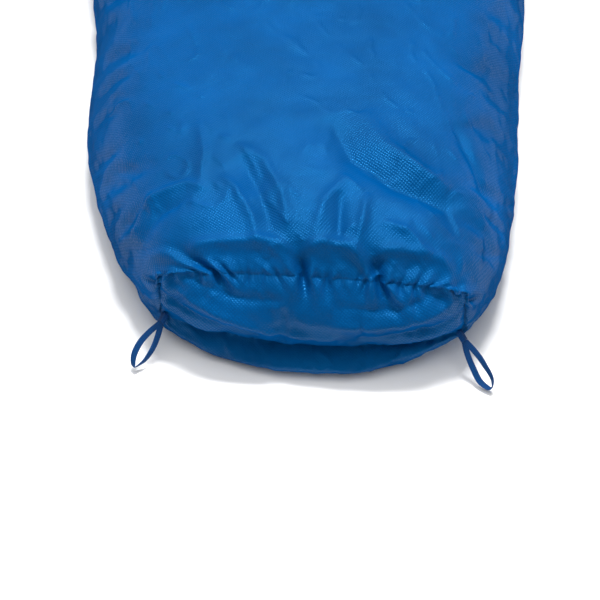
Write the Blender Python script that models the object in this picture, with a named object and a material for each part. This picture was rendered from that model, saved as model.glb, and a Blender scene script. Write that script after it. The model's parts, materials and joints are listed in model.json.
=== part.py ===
"""A mummy sleeping bag with a boxed foot, two hang loops at the foot's lower corners, a side zip and a hood.

The bag lies on its back. +Y runs from the foot to the crown, +X is the zip side and +Z is up. The origin is on
the floor, under the middle of the bag. Lengths are in metres.

Each wall is a quilt of three layers: an outer shell, loose synthetic fill and an inner lining. The top quilt is
in three stretches, so that it can fold back: a body that stays, a flap beside the zip, and a band between them
that bends. A soft layer is a plain closed solid of the right size here.
"""

import math

import bmesh
import bpy
from mathutils import Matrix, Vector

MM = 0.001
GAP = 0.5 * MM  # kept between neighbouring pieces
CLOTH = 1.2 * MM  # thickness that stands for one layer of cloth

# The bag's outline and height along its length, as (y, value, slope) for a smooth curve.
FOOT_Y = -1.000
CROWN_Y = 1.045
ZIP_TAPER = 0.1
HALF_WIDTH = [
    (FOOT_Y, 0.198, 0.60),
    (-0.92, 0.236, 0.30),
    (-0.75, 0.273, 0.13),
    (-0.55, 0.285, ZIP_TAPER),
    (0.50, 0.390, ZIP_TAPER),
    (0.70, 0.356, -0.40),
    (0.90, 0.240, -0.80),
    (1.01, 0.132, -1.50),
    (CROWN_Y, 0.062, -2.50),
]
CREST_HEIGHT = [
    (FOOT_Y, 0.150, 0.35),
    (-0.92, 0.166, 0.05),
    (-0.60, 0.165, -0.01),
    (0.45, 0.155, -0.01),
    (0.75, 0.150, -0.05),
    (0.95, 0.120, -0.30),
    (CROWN_Y, 0.080, -0.50),
]
SEAM_Z = 0.055  # height of the side seams, where the top and bottom quilts meet
SQUARENESS = 2.5  # of the cross-section: 2 is an ellipse
FLOOR_PRESS = 1.12  # how far the underside is pressed flat on the floor
INNER_SHARE = 0.88  # the cavity's width, as a share of the bag's
TOP_LOFT = 0.045
CAVITY_DROP = 0.022  # how far the cavity's floor lies under the side seams
CAVITY_END_Y = 0.940  # from here to the crown the cavity closes

# The foot end doesn't lie square: it leans to one side and one corner lies nearer the viewer.
LEAN_FROM_Y, LEAN_TO_Y = -0.500, -0.850
LEAN_ACROSS, LEAN_ALONG = 0.055, 0.080

# The face opening, between the top quilt's chin edge and the hood's rim.
CHIN_LEFT_Y, CHIN_MIDDLE_Y, CHIN_ZIP_Y = 0.630, 0.575, 0.505
RIM_LEFT_Y, RIM_MIDDLE_Y, RIM_ZIP_Y = 0.665, 0.845, 0.575

# The flap's fold: a straight line across the top quilt, from the zip's lower end to the far side of the chin.
FOLD_FOOT = Vector((0.286, -0.500, 0.095))
FOLD_CHIN = Vector((-0.200, 0.600, 0.160))
FOLD_BEFORE, FOLD_AFTER = 0.025, 0.095  # the bending band's reach to each side of that line, across the bag
FLAP_FOOT_Y = -0.220

# The zip.
ZIP_FOOT_Y, ZIP_TOP_Y = -0.460, 0.462  # ends of the interlocked coils
ZIP_INSET = 4.8 * MM  # the coils' middle, in from the side seam
SHELL_SLIT, FILL_SLIT = 7.0 * MM, 15.0 * MM  # how far shell and fill stop short of the seam on the zip side
EDGE_TURN = 0.006  # beyond the zip's ends the fill stops this angle short of the seam, inside the shell
COIL_WIDTH, COIL_HALF = 2.2 * MM, 1.3 * MM
TAPE_NEAR, TAPE_FAR, TAPE_HALF = 2.8 * MM, 9.5 * MM, 0.4 * MM
SLIDER_LENGTH, SLIDER_HALF = 15.0 * MM, 5.5 * MM
PLATE_NEAR, PLATE_FAR = 1.8 * MM, 3.2 * MM
PIN_HEIGHT = 1.6 * MM  # the pull's cross pin above the slider's plate
PULL_LENGTH, PULL_HALF, PULL_THICK = 27.0 * MM, 4.2 * MM, 1.3 * MM

# The hang loops, at the lower corners of the foot panel.
LOOP_X, LOOP_Y, LOOP_Z = 0.178, -1.030, 0.046
LOOP_REACH = Vector((0.026, -0.038, -0.040))  # from the root to the far end, on the zip side
LOOP_SPREAD = 0.017
WEBBING_WIDTH, WEBBING_THICK = 8.0 * MM, 1.1 * MM

COLOURS = {
    "shell": ((0.010, 0.130, 0.420, 1.0), 0.42, 0.0),
    "lining": ((0.075, 0.082, 0.090, 1.0), 0.70, 0.0),
    "fill": ((0.800, 0.800, 0.780, 1.0), 0.95, 0.0),
    "webbing": ((0.006, 0.070, 0.220, 1.0), 0.60, 0.0),
    "zip_tape": ((0.008, 0.060, 0.180, 1.0), 0.75, 0.0),
    "zip_coil": ((0.010, 0.075, 0.210, 1.0), 0.40, 0.0),
    "zip_metal": ((0.230, 0.235, 0.240, 1.0), 0.35, 1.0),
    "plastic": ((0.012, 0.013, 0.015, 1.0), 0.45, 0.0),
    "cord": ((0.010, 0.011, 0.013, 1.0), 0.70, 0.0),
    "spring": ((0.500, 0.500, 0.500, 1.0), 0.30, 1.0),
    "hook_tape": ((0.006, 0.050, 0.160, 1.0), 0.85, 0.0),
}


def clear_scene():
    for thing in list(bpy.data.objects):
        bpy.data.objects.remove(thing)


def finish(name):
    """The material of that finish, made once."""
    found = bpy.data.materials.get(name)
    if found:
        return found
    colour, roughness, metallic = COLOURS[name]
    material = bpy.data.materials.new(name)
    material.use_nodes = True
    surface = material.node_tree.nodes["Principled BSDF"]
    surface.inputs["Base Color"].default_value = colour
    surface.inputs["Roughness"].default_value = roughness
    surface.inputs["Metallic"].default_value = metallic
    return material


def lean(point):
    """A point moved as the foot end leans."""
    t = min(max((LEAN_FROM_Y - point.y) / (LEAN_FROM_Y - LEAN_TO_Y), 0.0), 1.0)
    share = t * t * (3 - 2 * t)
    return point + share * Vector((-LEAN_ACROSS * (point.y - FOOT_Y), -LEAN_ALONG * point.x, 0))


def solid(name, points, faces, look, pivot=(0, 0, 0)):
    """A named object from points and faces, with its origin on its joint's axis if it has one."""
    mesh = bpy.data.meshes.new(name)
    origin = lean(Vector(pivot))
    mesh.from_pydata([lean(Vector(p)) - origin for p in points], [], faces)
    shape = bmesh.new()
    shape.from_mesh(mesh)
    bmesh.ops.triangulate(shape, faces=shape.faces, quad_method="FIXED")
    bmesh.ops.recalc_face_normals(shape, faces=shape.faces)
    shape.to_mesh(mesh)
    shape.free()
    mesh.shade_smooth()
    mesh.set_sharp_from_angle(angle=math.radians(35))
    thing = bpy.data.objects.new(name, mesh)
    thing.location = origin
    bpy.context.scene.collection.objects.link(thing)
    mesh.materials.append(finish(look))
    return thing


def combine(thing, other, operation):
    """Joins or cuts with a helper object, which is hidden."""
    other.hide_render = True
    other.display_type = "WIRE"
    modifier = thing.modifiers.new(operation.lower(), "BOOLEAN")
    modifier.operation = operation
    modifier.object = other


# ---------------------------------------------------------------- the bag's form


def along(curve, y):
    """The value of a (y, value, slope) curve at y, by cubic Hermite pieces."""
    y = min(max(y, curve[0][0]), curve[-1][0])
    for (y0, a, slope_a), (y1, b, slope_b) in zip(curve, curve[1:]):
        if y <= y1:
            break
    span = y1 - y0
    t = (y - y0) / span
    return (
        a * (1 + 2 * t) * (1 - t) ** 2
        + slope_a * span * t * (1 - t) ** 2
        + b * t * t * (3 - 2 * t)
        + slope_b * span * t * t * (t - 1)
    )


def half_width(y):
    return along(HALF_WIDTH, y)


def section(y, angle, top, inner):
    """The point of the bag's cross-section at y. The angle runs from -90 at the -X seam to 90 at the +X seam."""
    across = math.copysign(abs(math.sin(angle)) ** (2 / SQUARENESS), angle)
    rise = max(math.cos(angle), 0.0) ** (2 / SQUARENESS)
    crest = along(CREST_HEIGHT, y)
    room = min((CROWN_Y - y) / (CROWN_Y - CAVITY_END_Y), 1.0)
    x = half_width(y) * across * (INNER_SHARE if inner else 1.0)
    if top and inner:
        z = SEAM_Z + max(crest - TOP_LOFT - SEAM_Z, 0.010) * rise * room
    elif top:
        z = SEAM_Z + (crest - SEAM_Z) * rise
    elif inner:
        z = SEAM_Z - CAVITY_DROP * rise * room
    else:
        z = SEAM_Z * max(1 - FLOOR_PRESS * rise, 0.0)
    return Vector((x, y, z + (GAP / 2 if top else -GAP / 2 if z > GAP else 0.0)))


def wall_point(y, angle, top, depth):
    """The point that far in from the outside of the wall. A negative depth counts from the cavity side."""
    outside = section(y, angle, top, False)
    inside = section(y, angle, top, True)
    across = inside - outside
    length = across.length
    return outside + across * ((depth if depth >= 0 else length + depth) / length)


def angle_at_x(y, x):
    share = min(max(x / half_width(y), -1.0), 1.0)
    return math.copysign(math.asin(abs(share) ** (SQUARENESS / 2)), share)


def angle_at_slit(y, top, slit):
    """The angle on the zip side where the wall's outside is that far above or below the seam."""
    reach = along(CREST_HEIGHT, y) - SEAM_Z if top else SEAM_Z * FLOOR_PRESS
    return math.acos((slit / reach) ** (SQUARENESS / 2))


def blend(a, b, t):
    return a + (b - a) * t


def quilt_block(name, place, layer, rows, across, look):
    """A closed block of one layer. place(u, v) gives (y, angle, top) for u across and v along the bag."""
    near, far = layer
    columns = len(across) - 1
    points = []
    for depth in (near, far):
        for j in range(rows + 1):
            for u in across:
                y, angle, top = place(u, j / rows)
                points.append(wall_point(y, angle, top, depth))
    width = columns + 1
    back = width * (rows + 1)
    faces = []
    for j in range(rows):
        for i in range(columns):
            a = j * width + i
            quad = (a, a + 1, a + 1 + width, a + width)
            faces.append(quad)
            faces.append(tuple(back + quad[k] for k in (0, 3, 2, 1)))
    edge = [i for i in range(width)]
    edge += [j * width + columns for j in range(1, rows + 1)]
    edge += [rows * width + i for i in range(columns - 1, -1, -1)]
    edge += [j * width for j in range(rows - 1, 0, -1)]
    for a, b in zip(edge, edge[1:] + edge[:1]):
        faces.append((a, back + a, back + b, b))
    return solid(name, points, faces, look)


LAYERS = {
    "shell": (0.0, CLOTH, "shell"),
    "fill": (CLOTH + GAP, -CLOTH - GAP, "fill"),
    "lining": (-CLOTH, -0.0001 * MM, "lining"),
}


def layered(stem, place, rows, columns):
    """Shell, fill and lining of one stretch of quilt. Only the shell goes on past u = 1, to u = 2 at the zip."""
    across = [i / columns for i in range(columns + 1)]
    for layer, (near, far, look) in LAYERS.items():
        reach = across + [2.0] if layer == "shell" and stem != "top_body" else across
        quilt_block(f"{stem}_{layer}", place, (near, far), rows, reach, look)


# ---------------------------------------------------------------- top quilt, in three stretches


def fold_x(y):
    """Where the fold line crosses y."""
    t = (y - FOLD_FOOT.y) / (FOLD_CHIN.y - FOLD_FOOT.y)
    return blend(FOLD_FOOT.x, FOLD_CHIN.x, t)


def chin_y(x):
    """The chin edge, from the -X seam to the zip, as a curve across the bag."""
    t = (x + 0.36) / (0.36 + 0.39)
    return (
        CHIN_LEFT_Y * (1 - t) ** 2
        + 2 * (2 * CHIN_MIDDLE_Y - (CHIN_LEFT_Y + CHIN_ZIP_Y) / 2) * t * (1 - t)
        + CHIN_ZIP_Y * t * t
    )


BODY_CHIN_X = FOLD_CHIN.x - FOLD_BEFORE
FLAP_CHIN_X = FOLD_CHIN.x + FOLD_AFTER
LOW_ROWS, FLAP_ROWS = 4, 12  # of the quilt's mesh beside the fold, below the flap's foot and along the flap


def fold_row(row, foot_y, chin):
    """The y of a row beside the fold, so that the rows of neighbouring stretches meet."""
    if row < LOW_ROWS + 0.5:
        return blend(foot_y, FLAP_FOOT_Y - 8.0 * MM, row / LOW_ROWS)
    return blend(FLAP_FOOT_Y - 4.0 * MM, chin, (row - LOW_ROWS - 1) / FLAP_ROWS)


def top_body():
    """The part of the top quilt that stays: all of the foot end, then up to the fold line."""
    foot_rows = 8
    rows = foot_rows + LOW_ROWS + 1 + FLAP_ROWS

    def place(u, v):
        row = v * rows
        if row < foot_rows - 0.5:
            return blend(FOOT_Y, FOLD_FOOT.y - 4.0 * MM, row / (foot_rows - 1)), blend(-math.pi / 2, math.pi / 2, u), True
        y = fold_row(row - foot_rows, FOLD_FOOT.y, chin_y(blend(-0.36, BODY_CHIN_X, u)))
        return y, blend(-math.pi / 2, angle_at_x(y, fold_x(y) - FOLD_BEFORE), u), True

    layered("top_body", place, rows, 8)


def top_fold_band():
    """The stretch of the top quilt that bends when the flap is turned back."""
    rows = LOW_ROWS + 1 + FLAP_ROWS

    def place(u, v):
        row = v * rows
        y = fold_row(row, FOLD_FOOT.y + 1.0 * MM, chin_y(blend(BODY_CHIN_X, FLAP_CHIN_X, min(u, 1.0))))
        left = angle_at_x(y, fold_x(y) - FOLD_BEFORE + 5.5 * MM)
        if row < LOW_ROWS + 0.5:
            right = angle_at_slit(y, True, SHELL_SLIT if u > 1 else FILL_SLIT)
        else:
            right = angle_at_x(y, fold_x(y) + FOLD_AFTER + (1.0 * MM if u > 1 else 0.0))
        return y, right if u > 1 else blend(left, right, u), True

    layered("top_fold", place, rows, 4)


def top_flap():
    """The part of the top quilt between the fold and the zip."""

    def place(u, v):
        y = blend(FLAP_FOOT_Y, chin_y(blend(FLAP_CHIN_X, 0.39, min(u, 1.0))), v)
        if u > 1:
            return y, angle_at_slit(y, True, SHELL_SLIT), True
        left = angle_at_x(y, fold_x(y) + FOLD_AFTER + 5.5 * MM)
        return y, blend(left, angle_at_slit(y, True, FILL_SLIT), u), True

    layered("top_flap", place, FLAP_ROWS, 6)


# ---------------------------------------------------------------- bottom quilt, hood and foot


def bottom_quilt():
    """The back quilt, in one piece from the foot to the crown. It lies flat on the floor."""

    def place(u, v):
        y = blend(FOOT_Y, CROWN_Y, v)
        opened = min(max((0.02 + min(y + 0.50, 0.50 - y)) / 0.03, 0.0), 1.0)
        if u > 1:
            return y, blend(math.pi / 2, angle_at_slit(y, False, SHELL_SLIT), opened), False
        right = blend(math.pi / 2 - EDGE_TURN, angle_at_slit(y, False, FILL_SLIT), opened)
        return y, blend(-math.pi / 2, right, u), False

    layered("bottom", place, 22, 10)


def rim_y(u):
    """The hood's rim across the bag, from the -X corner to the corner by the zip."""
    arch = math.sin(math.pi * u) ** 0.8
    return blend(RIM_LEFT_Y, RIM_ZIP_Y, u) + (RIM_MIDDLE_Y - (RIM_LEFT_Y + RIM_ZIP_Y) / 2) * arch


def hood():
    """The hood: the scoop above the back quilt at the head end."""

    def place(u, v):
        y = blend(rim_y(min(u, 1.0)), CROWN_Y, v)
        if u > 1:
            return y, math.pi / 2, True
        return y, blend(-math.pi / 2, math.pi / 2 - EDGE_TURN, u), True

    layered("hood", place, 6, HOOD_COLUMNS)


FOOT_CENTRE_Z = 0.072
FOOT_LIP, FOOT_BULGE, FOOT_ROUND = 0.007, 0.043, 0.7
FOOT_LINING_Y = FOOT_Y - GAP


def foot_contour(turn):
    """The tube's outer contour at the foot, for a turn from 0 to 1 round the panel."""
    angle = (turn * 2 - 0.5 if turn < 0.5 else 1.5 - turn * 2) * math.pi
    point = section(FOOT_Y, angle, turn < 0.5, False)
    return Vector((point.x, 0, point.z))


def foot_face_y(share):
    """How far out the foot panel's face stands at that share of the way from its middle to its edge."""
    return FOOT_LINING_Y - FOOT_LIP - FOOT_BULGE * (1 - share * share) ** FOOT_ROUND


def foot_box():
    """The boxed foot panel that closes the bag: outer face, fill and lining."""
    turns, rings = 24, 4

    def disc(y_at, share_max):
        points = [Vector((0, y_at(0.0), FOOT_CENTRE_Z))]
        for ring in range(1, rings + 1):
            share = ring / rings
            for k in range(turns):
                turn = (k + 0.5) / turns
                edge = foot_contour(turn)
                reach = share * share_max
                x = edge.x * reach
                z = FOOT_CENTRE_Z + (edge.z - FOOT_CENTRE_Z) * reach
                points.append(Vector((x, y_at(share), z)))
        return points

    def cap(name, outer, inner, look):
        points = outer + inner
        back = len(outer)
        faces = []
        for side, flip in ((0, False), (back, True)):
            for k in range(turns):
                near = side + 1 + k
                far = side + 1 + (k + 1) % turns
                triangle = (side, near, far)
                faces.append(tuple(reversed(triangle)) if flip else triangle)
                for ring in range(rings - 1):
                    a, b = near + ring * turns, far + ring * turns
                    quad = (a, a + turns, b + turns, b)
                    faces.append(tuple(reversed(quad)) if flip else quad)
        first = 1 + (rings - 1) * turns
        for k in range(turns):
            a, b = first + k, first + (k + 1) % turns
            faces.append((a, back + a, back + b, b))
        solid(name, points, faces, look)

    cloth = CLOTH + GAP
    cap(
        "foot_panel_shell",
        disc(foot_face_y, 0.992),
        disc(lambda s: foot_face_y(s) + CLOTH, 0.992),
        "shell",
    )
    cap(
        "foot_panel_fill",
        disc(lambda s: foot_face_y(s) + cloth, 0.990),
        disc(lambda s: FOOT_LINING_Y - cloth, 0.990),
        "fill",
    )
    cap(
        "foot_panel_lining",
        disc(lambda s: FOOT_LINING_Y - CLOTH, 0.990),
        disc(lambda s: FOOT_LINING_Y, 0.990),
        "lining",
    )


# ---------------------------------------------------------------- swept pieces


def sweep(name, path, profile, look, up=Vector((0, 0, 1)), hole=None, pivot=(0, 0, 0)):
    """A profile of (side, up) points carried along a path. A hole profile makes it a tube, open at both ends."""
    count = len(path)
    rings = []
    for i, point in enumerate(path):
        ahead = (path[min(i + 1, count - 1)] - path[max(i - 1, 0)]).normalized()
        side = ahead.cross(up).normalized()
        rise = side.cross(ahead).normalized()
        rings.append((point, side, rise))

    def ring_points(outline):
        return [p + side * a + rise * b for p, side, rise in rings for a, b in outline]

    n = len(profile)
    points = ring_points(profile)
    faces = []
    for i in range(count - 1):
        for k in range(n):
            a, b = i * n + k, i * n + (k + 1) % n
            faces.append((a, b, b + n, a + n))
    if hole is None:
        faces.append(tuple(range(n)))
        faces.append(tuple(reversed(range((count - 1) * n, count * n))))
    else:
        back = len(points)
        points += ring_points(hole)
        for i in range(count - 1):
            for k in range(n):
                a, b = back + i * n + k, back + i * n + (k + 1) % n
                faces.append((a + n, b + n, b, a))
        for k in range(n):
            a, b = k, (k + 1) % n
            faces.append((a, back + a, back + b, b))
            a, b = a + (count - 1) * n, b + (count - 1) * n
            faces.append((a, b, back + b, back + a))
    return solid(name, points, faces, look, pivot)


def oval(half_a, half_b, sides=8):
    turns = [2 * math.pi * (k + 0.5) / sides for k in range(sides)]
    return [(half_a * math.cos(t), half_b * math.sin(t)) for t in turns]


def bar(low, high):
    """A rectangle from its lowest to its highest (side, up) corner."""
    return [(low[0], low[1]), (high[0], low[1]), (high[0], high[1]), (low[0], high[1])]


# ---------------------------------------------------------------- the zip


def zip_point(y, out=0.0, rise=0.0):
    """A point on the zip's straight line: out is away from the bag, rise is above the seam."""
    outward = Vector((1, -ZIP_TAPER, 0)).normalized()
    return Vector((half_width(y) - ZIP_INSET, y, SEAM_Z + rise)) + outward * out


def zip_bar(name, y_from, y_to, low, high, look):
    """A straight bar along the zip, given by its (out, rise) corners."""
    profile = [(a, b) for a, b in bar(low, high)]
    return sweep(name, [zip_point(y_from), zip_point(y_to)], profile, look)


def zip_chain():
    """Two woven tapes, the coil sewn to each, and the stops at their ends."""
    for side, name in ((1, "upper"), (-1, "lower")):
        rises = sorted((side * TAPE_NEAR, side * TAPE_FAR))
        tape_ends = (ZIP_FOOT_Y - 0.006, ZIP_TOP_Y + 0.030)
        zip_bar(f"zip_tape_{name}", *tape_ends, (-TAPE_HALF, rises[0]), (TAPE_HALF, rises[1]), "zip_tape")
        rises = sorted((side * GAP / 2, side * (GAP / 2 + COIL_WIDTH)))
        zip_bar(f"zip_coil_{name}", ZIP_FOOT_Y, ZIP_TOP_Y, (-COIL_HALF, rises[0]), (COIL_HALF, rises[1]), "zip_coil")
        stop_y = ZIP_TOP_Y + 0.0075
        stop = ((-COIL_HALF - 0.3 * MM, rises[0]), (COIL_HALF + 0.3 * MM, rises[1]))
        zip_bar(f"zip_top_stop_{name}", stop_y, stop_y + 0.003, *stop, "zip_metal")
    reach = 3.2 * MM
    height = TAPE_NEAR - GAP
    foot = ZIP_FOOT_Y - GAP
    zip_bar("zip_bottom_stop", foot - 0.004, foot, (-reach / 2, -height), (reach / 2, height), "zip_metal")


def zip_slider():
    """The slider: two plates round the coils, joined by a wedge at the head end, with a bridge for each pull."""
    head = ZIP_TOP_Y + 0.0070
    tail = head - SLIDER_LENGTH
    middle = (head + tail) / 2
    lip = 4.3 * MM
    body = bmesh.new()

    def block(y0, y1, low, high):
        """A block that overlaps its neighbours, joined to them afterwards."""
        corners = []
        for y in (y0, y1):
            corners += [zip_point(y, a, b) for a, b in bar(low, high)]
        verts = [body.verts.new(c) for c in corners]
        for quad in ((3, 2, 1, 0), (4, 5, 6, 7), (0, 1, 5, 4), (1, 2, 6, 5), (2, 3, 7, 6), (3, 0, 4, 7)):
            body.faces.new([verts[k] for k in quad])

    blocks = []
    for face in (1, -1):
        out = sorted((face * PLATE_NEAR, face * PLATE_FAR))
        blocks.append((tail, head, (out[0], -SLIDER_HALF), (out[1], SLIDER_HALF)))
        lip_out = sorted((face * 0.9 * MM, face * (PLATE_NEAR + 0.3 * MM)))
        for side in (1, -1):
            rise = sorted((side * lip, side * SLIDER_HALF))
            blocks.append((tail + 0.1 * MM, head - 4.6 * MM, (lip_out[0], rise[0]), (lip_out[1], rise[1])))
        foot_out = sorted((face * (PLATE_FAR - 0.3 * MM), face * (PLATE_FAR + 3.4 * MM)))
        for end in (-1, 1):
            post = middle + end * 3.1 * MM
            blocks.append((post - 0.7 * MM, post + 0.7 * MM, (foot_out[0], -1.1 * MM), (foot_out[1], 1.1 * MM)))
        bridge_out = sorted((face * (PLATE_FAR + 2.7 * MM), face * (PLATE_FAR + 3.9 * MM)))
        blocks.append((middle - 3.9 * MM, middle + 3.9 * MM, (bridge_out[0], -1.2 * MM), (bridge_out[1], 1.2 * MM)))
    wedge = PLATE_NEAR + 0.3 * MM
    blocks.append((head - 4.2 * MM, head - 0.2 * MM, (-wedge, 0.35 * MM), (wedge, 2.6 * MM)))
    parts = []
    for k, (y0, y1, low, high) in enumerate(blocks):
        block(y0, y1, low, high)
        mesh = bpy.data.meshes.new(f"slider_block_{k}")
        bmesh.ops.recalc_face_normals(body, faces=body.faces)
        body.to_mesh(mesh)
        body.clear()
        piece = bpy.data.objects.new(f"slider_block_{k}", mesh)
        bpy.context.scene.collection.objects.link(piece)
        parts.append(piece)
    body.free()
    slider = parts[0]
    slider.name = "zip_slider"
    slider.data.materials.append(finish("zip_metal"))
    for other in parts[1:]:
        combine(slider, other, "UNION")
    return middle


def zip_pull(name, middle, face):
    """A pull tab: a flat tongue with a window near its pin, so that it clears the slider's bridge."""
    pin_out = face * (PLATE_FAR + PIN_HEIGHT)
    half = PULL_THICK / 2
    arm = 1.7 * MM
    end = middle - PULL_LENGTH
    window = middle - 6.2 * MM
    pivot = zip_point(middle, pin_out, 0)
    ys = [middle + half, middle - half, window, end + 2.2 * MM, end]
    outer = [PULL_HALF - 1.0 * MM, PULL_HALF - 0.6 * MM, PULL_HALF, PULL_HALF, PULL_HALF - 2.0 * MM]
    inner = [None, arm, arm, None, None]
    points = []
    index = {}
    for out in (pin_out - half, pin_out + half):
        for k, y in enumerate(ys):
            for side in (-1, 1):
                index[out, k, side, "o"] = len(points)
                points.append(zip_point(y, out, side * outer[k]))
                if inner[k] is not None:
                    index[out, k, side, "i"] = len(points)
                    points.append(zip_point(y, out, side * inner[k]))
    near, far = pin_out - half, pin_out + half
    faces = []
    for out in (near, far):
        top = [(out, 0, -1, "o"), (out, 0, 1, "o"), (out, 1, 1, "o"), (out, 1, 1, "i"), (out, 1, -1, "i"), (out, 1, -1, "o")]
        faces.append([index[c] for c in top])
        for side in (-1, 1):
            arms = [(out, 1, side, "o"), (out, 1, side, "i"), (out, 2, side, "i"), (out, 2, side, "o")]
            faces.append([index[c] for c in arms])
        tongue = [(out, 2, -1, "o"), (out, 2, -1, "i"), (out, 2, 1, "i"), (out, 2, 1, "o"), (out, 3, 1, "o"), (out, 3, -1, "o")]
        faces.append([index[c] for c in tongue])
        faces.append([index[out, 3, -1, "o"], index[out, 3, 1, "o"], index[out, 4, 1, "o"], index[out, 4, -1, "o"]])
    rim = [(0, -1), (0, 1), (1, 1), (2, 1), (3, 1), (4, 1), (4, -1), (3, -1), (2, -1), (1, -1)]
    for (k, s), (m, t) in zip(rim, rim[1:] + rim[:1]):
        faces.append([index[near, k, s, "o"], index[near, m, t, "o"], index[far, m, t, "o"], index[far, k, s, "o"]])
    hole = [(1, -1), (1, 1), (2, 1), (2, -1)]
    for (k, s), (m, t) in zip(hole, hole[1:] + hole[:1]):
        faces.append([index[near, k, s, "i"], index[near, m, t, "i"], index[far, m, t, "i"], index[far, k, s, "i"]])
    solid(name, points, faces, "zip_metal", pivot)


def draft_tube():
    """The slim padded tube inside the flap that keeps the cold out behind the zip."""
    path = []
    for k in range(13):
        y = blend(FLAP_FOOT_Y + 0.01, 0.480, k / 12)
        path.append(Vector((half_width(y) * INNER_SHARE - 0.030, y, SEAM_Z + 0.0095)))
    sweep("draft_tube", path, oval(0.0145, 0.0085, 10), "lining")


def zip_guard():
    """The tab that closes over the top of the zip, on the flap, and the loop patch that it presses onto."""
    y0, y1 = 0.482, 0.502
    out = ZIP_INSET + 1.8 * MM
    top = 0.019
    middle = (y0 + y1) / 2
    pivot = zip_point(middle, out + 0.6 * MM, top)
    path = [zip_point(y0), zip_point(y1)]
    sweep("zip_guard_tab", path, bar((out, -0.014), (out + 1.2 * MM, top)), "hook_tape", pivot=pivot)
    patch_out = ZIP_INSET + 0.7 * MM
    sweep("zip_guard_patch", path, bar((patch_out, -0.0135), (patch_out + 0.8 * MM, -0.0035)), "hook_tape")


# ---------------------------------------------------------------- hood hem, drawcord and lock


HOOD_COLUMNS = 14  # of the quilt across the hood, which the hem follows
HEM_RADIUS = 7.0 * MM


def hem_path():
    """Along the hood's rim, just outside the quilt's edge, with the directions along and away from it at the end."""
    edge = []
    walls = []
    for k in range(1, HOOD_COLUMNS - 1):
        u = k / HOOD_COLUMNS
        angle = blend(-math.pi / 2, math.pi / 2, u)
        outside = section(rim_y(u), angle, True, False)
        inside = section(rim_y(u), angle, True, True)
        edge.append(blend(outside, inside, 0.32))
        walls.append((inside - outside).normalized())
    path = []
    for k, (point, wall) in enumerate(zip(edge, walls)):
        tangent = (edge[min(k + 1, len(edge) - 1)] - edge[max(k - 1, 0)]).normalized()
        away = wall.cross(tangent).normalized()
        path.append(point + away * (HEM_RADIUS + 3.0 * MM))
    return path, tangent, away


def hood_hem():
    """The rolled hem round the hood's rim, and the elastic cord that runs inside it all the way."""
    path, ahead, away = hem_path()
    sweep("hood_hem", path, oval(HEM_RADIUS, HEM_RADIUS, 8), "shell", hole=oval(0.0030, 0.0030, 8))
    first, last = path[0], path[-1]
    out = (ahead + away * 1.5).normalized()
    leave = last + ahead * 0.001
    turn = leave + (ahead + out) * 0.0025
    cord = [blend(first, path[1], 0.2)] + path[1:-1] + [leave, turn, turn + out * 0.034]
    sweep("hood_drawcord", cord, oval(0.0017, 0.0017, 6), "cord")
    return turn, out


def cord_lock(start, ahead):
    """The spring lock on the drawcord's end: a barrel and its base, the push button and the spring under it."""
    side = ahead.cross(Vector((0, 0, 1))).normalized()
    rise = side.cross(ahead).normalized()
    centre = start + ahead * 0.0225
    low = centre - rise * 0.0100
    bore = oval(0.0047, 0.0047, 16)
    barrel = sweep("cord_lock_barrel", [low, low + rise * 0.0140], oval(0.0064, 0.0064, 16), "plastic", ahead, bore)
    base = [low - rise * (GAP + 0.0016), low - rise * GAP]
    sweep("cord_lock_base", base, oval(0.0064, 0.0064, 16), "plastic", ahead)
    stem = [low + rise * 0.0070, low + rise * 0.0200]
    button = sweep("cord_lock_button", stem, oval(0.0043, 0.0043, 16), "plastic", ahead, pivot=stem[1])
    through = [centre - ahead * 0.012, centre + ahead * 0.012]
    combine(barrel, sweep("cord_hole", through, oval(0.0023, 0.0023, 12), "plastic", rise), "DIFFERENCE")
    slot = bar((-0.0022, -0.0023), (0.0022, 0.0046))
    combine(button, sweep("cord_slot", through, slot, "plastic", rise), "DIFFERENCE")
    spring_path = []
    turns, steps = 4, 10
    for k in range(turns * steps + 1):
        t = k / (turns * steps)
        turn = 2 * math.pi * turns * t
        around = side * math.cos(turn) + ahead * math.sin(turn)
        spring_path.append(low + rise * blend(0.0008, 0.0062, t) + around * 0.0030)
    sweep("cord_lock_spring", spring_path, oval(0.0004, 0.0004, 6), "spring", rise)


# ---------------------------------------------------------------- hang loops


def hang_loop(name, side):
    """A loop of flat webbing, both ends sewn into the corner of the foot panel, hanging to the floor."""
    root = Vector((side * LOOP_X, LOOP_Y, LOOP_Z))
    reach = Vector((side * LOOP_REACH.x, LOOP_REACH.y, LOOP_REACH.z))
    length = reach.length
    down = reach.normalized()
    spread = Vector((side * 0.83, -0.05, 0.55))
    spread = (spread - down * spread.dot(down)).normalized()
    width = down.cross(spread)
    steps = 20
    path = []
    for k in range(steps + 1):
        t = 2 * math.pi * blend(0.04, 0.96, k / steps)
        run = length * (1 - math.cos(t)) / 2
        bow = LOOP_SPREAD / 2 * math.sin(t) * (0.45 + 0.55 * run / length)
        path.append(root + down * run + spread * bow)
    profile = bar((-WEBBING_THICK / 2, -WEBBING_WIDTH / 2), (WEBBING_THICK / 2, WEBBING_WIDTH / 2))
    sweep(name, path, profile, "webbing", up=width, pivot=root)
    tack = [root - down * 0.0048, root - down * 0.0030]
    sweep(f"{name}_bartack", tack, bar((-0.0014, -0.0042), (0.0014, 0.0042)), "webbing", up=width)


def main():
    clear_scene()
    bottom_quilt()
    foot_box()
    top_body()
    top_fold_band()
    top_flap()
    hood()
    zip_chain()
    middle = zip_slider()
    zip_pull("zip_pull_outer", middle, 1)
    zip_pull("zip_pull_inner", middle, -1)
    draft_tube()
    zip_guard()
    end, ahead = hood_hem()
    cord_lock(end, ahead)
    for name, side in (("hang_loop_left", 1), ("hang_loop_right", -1)):
        hang_loop(name, side)


main()
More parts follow.
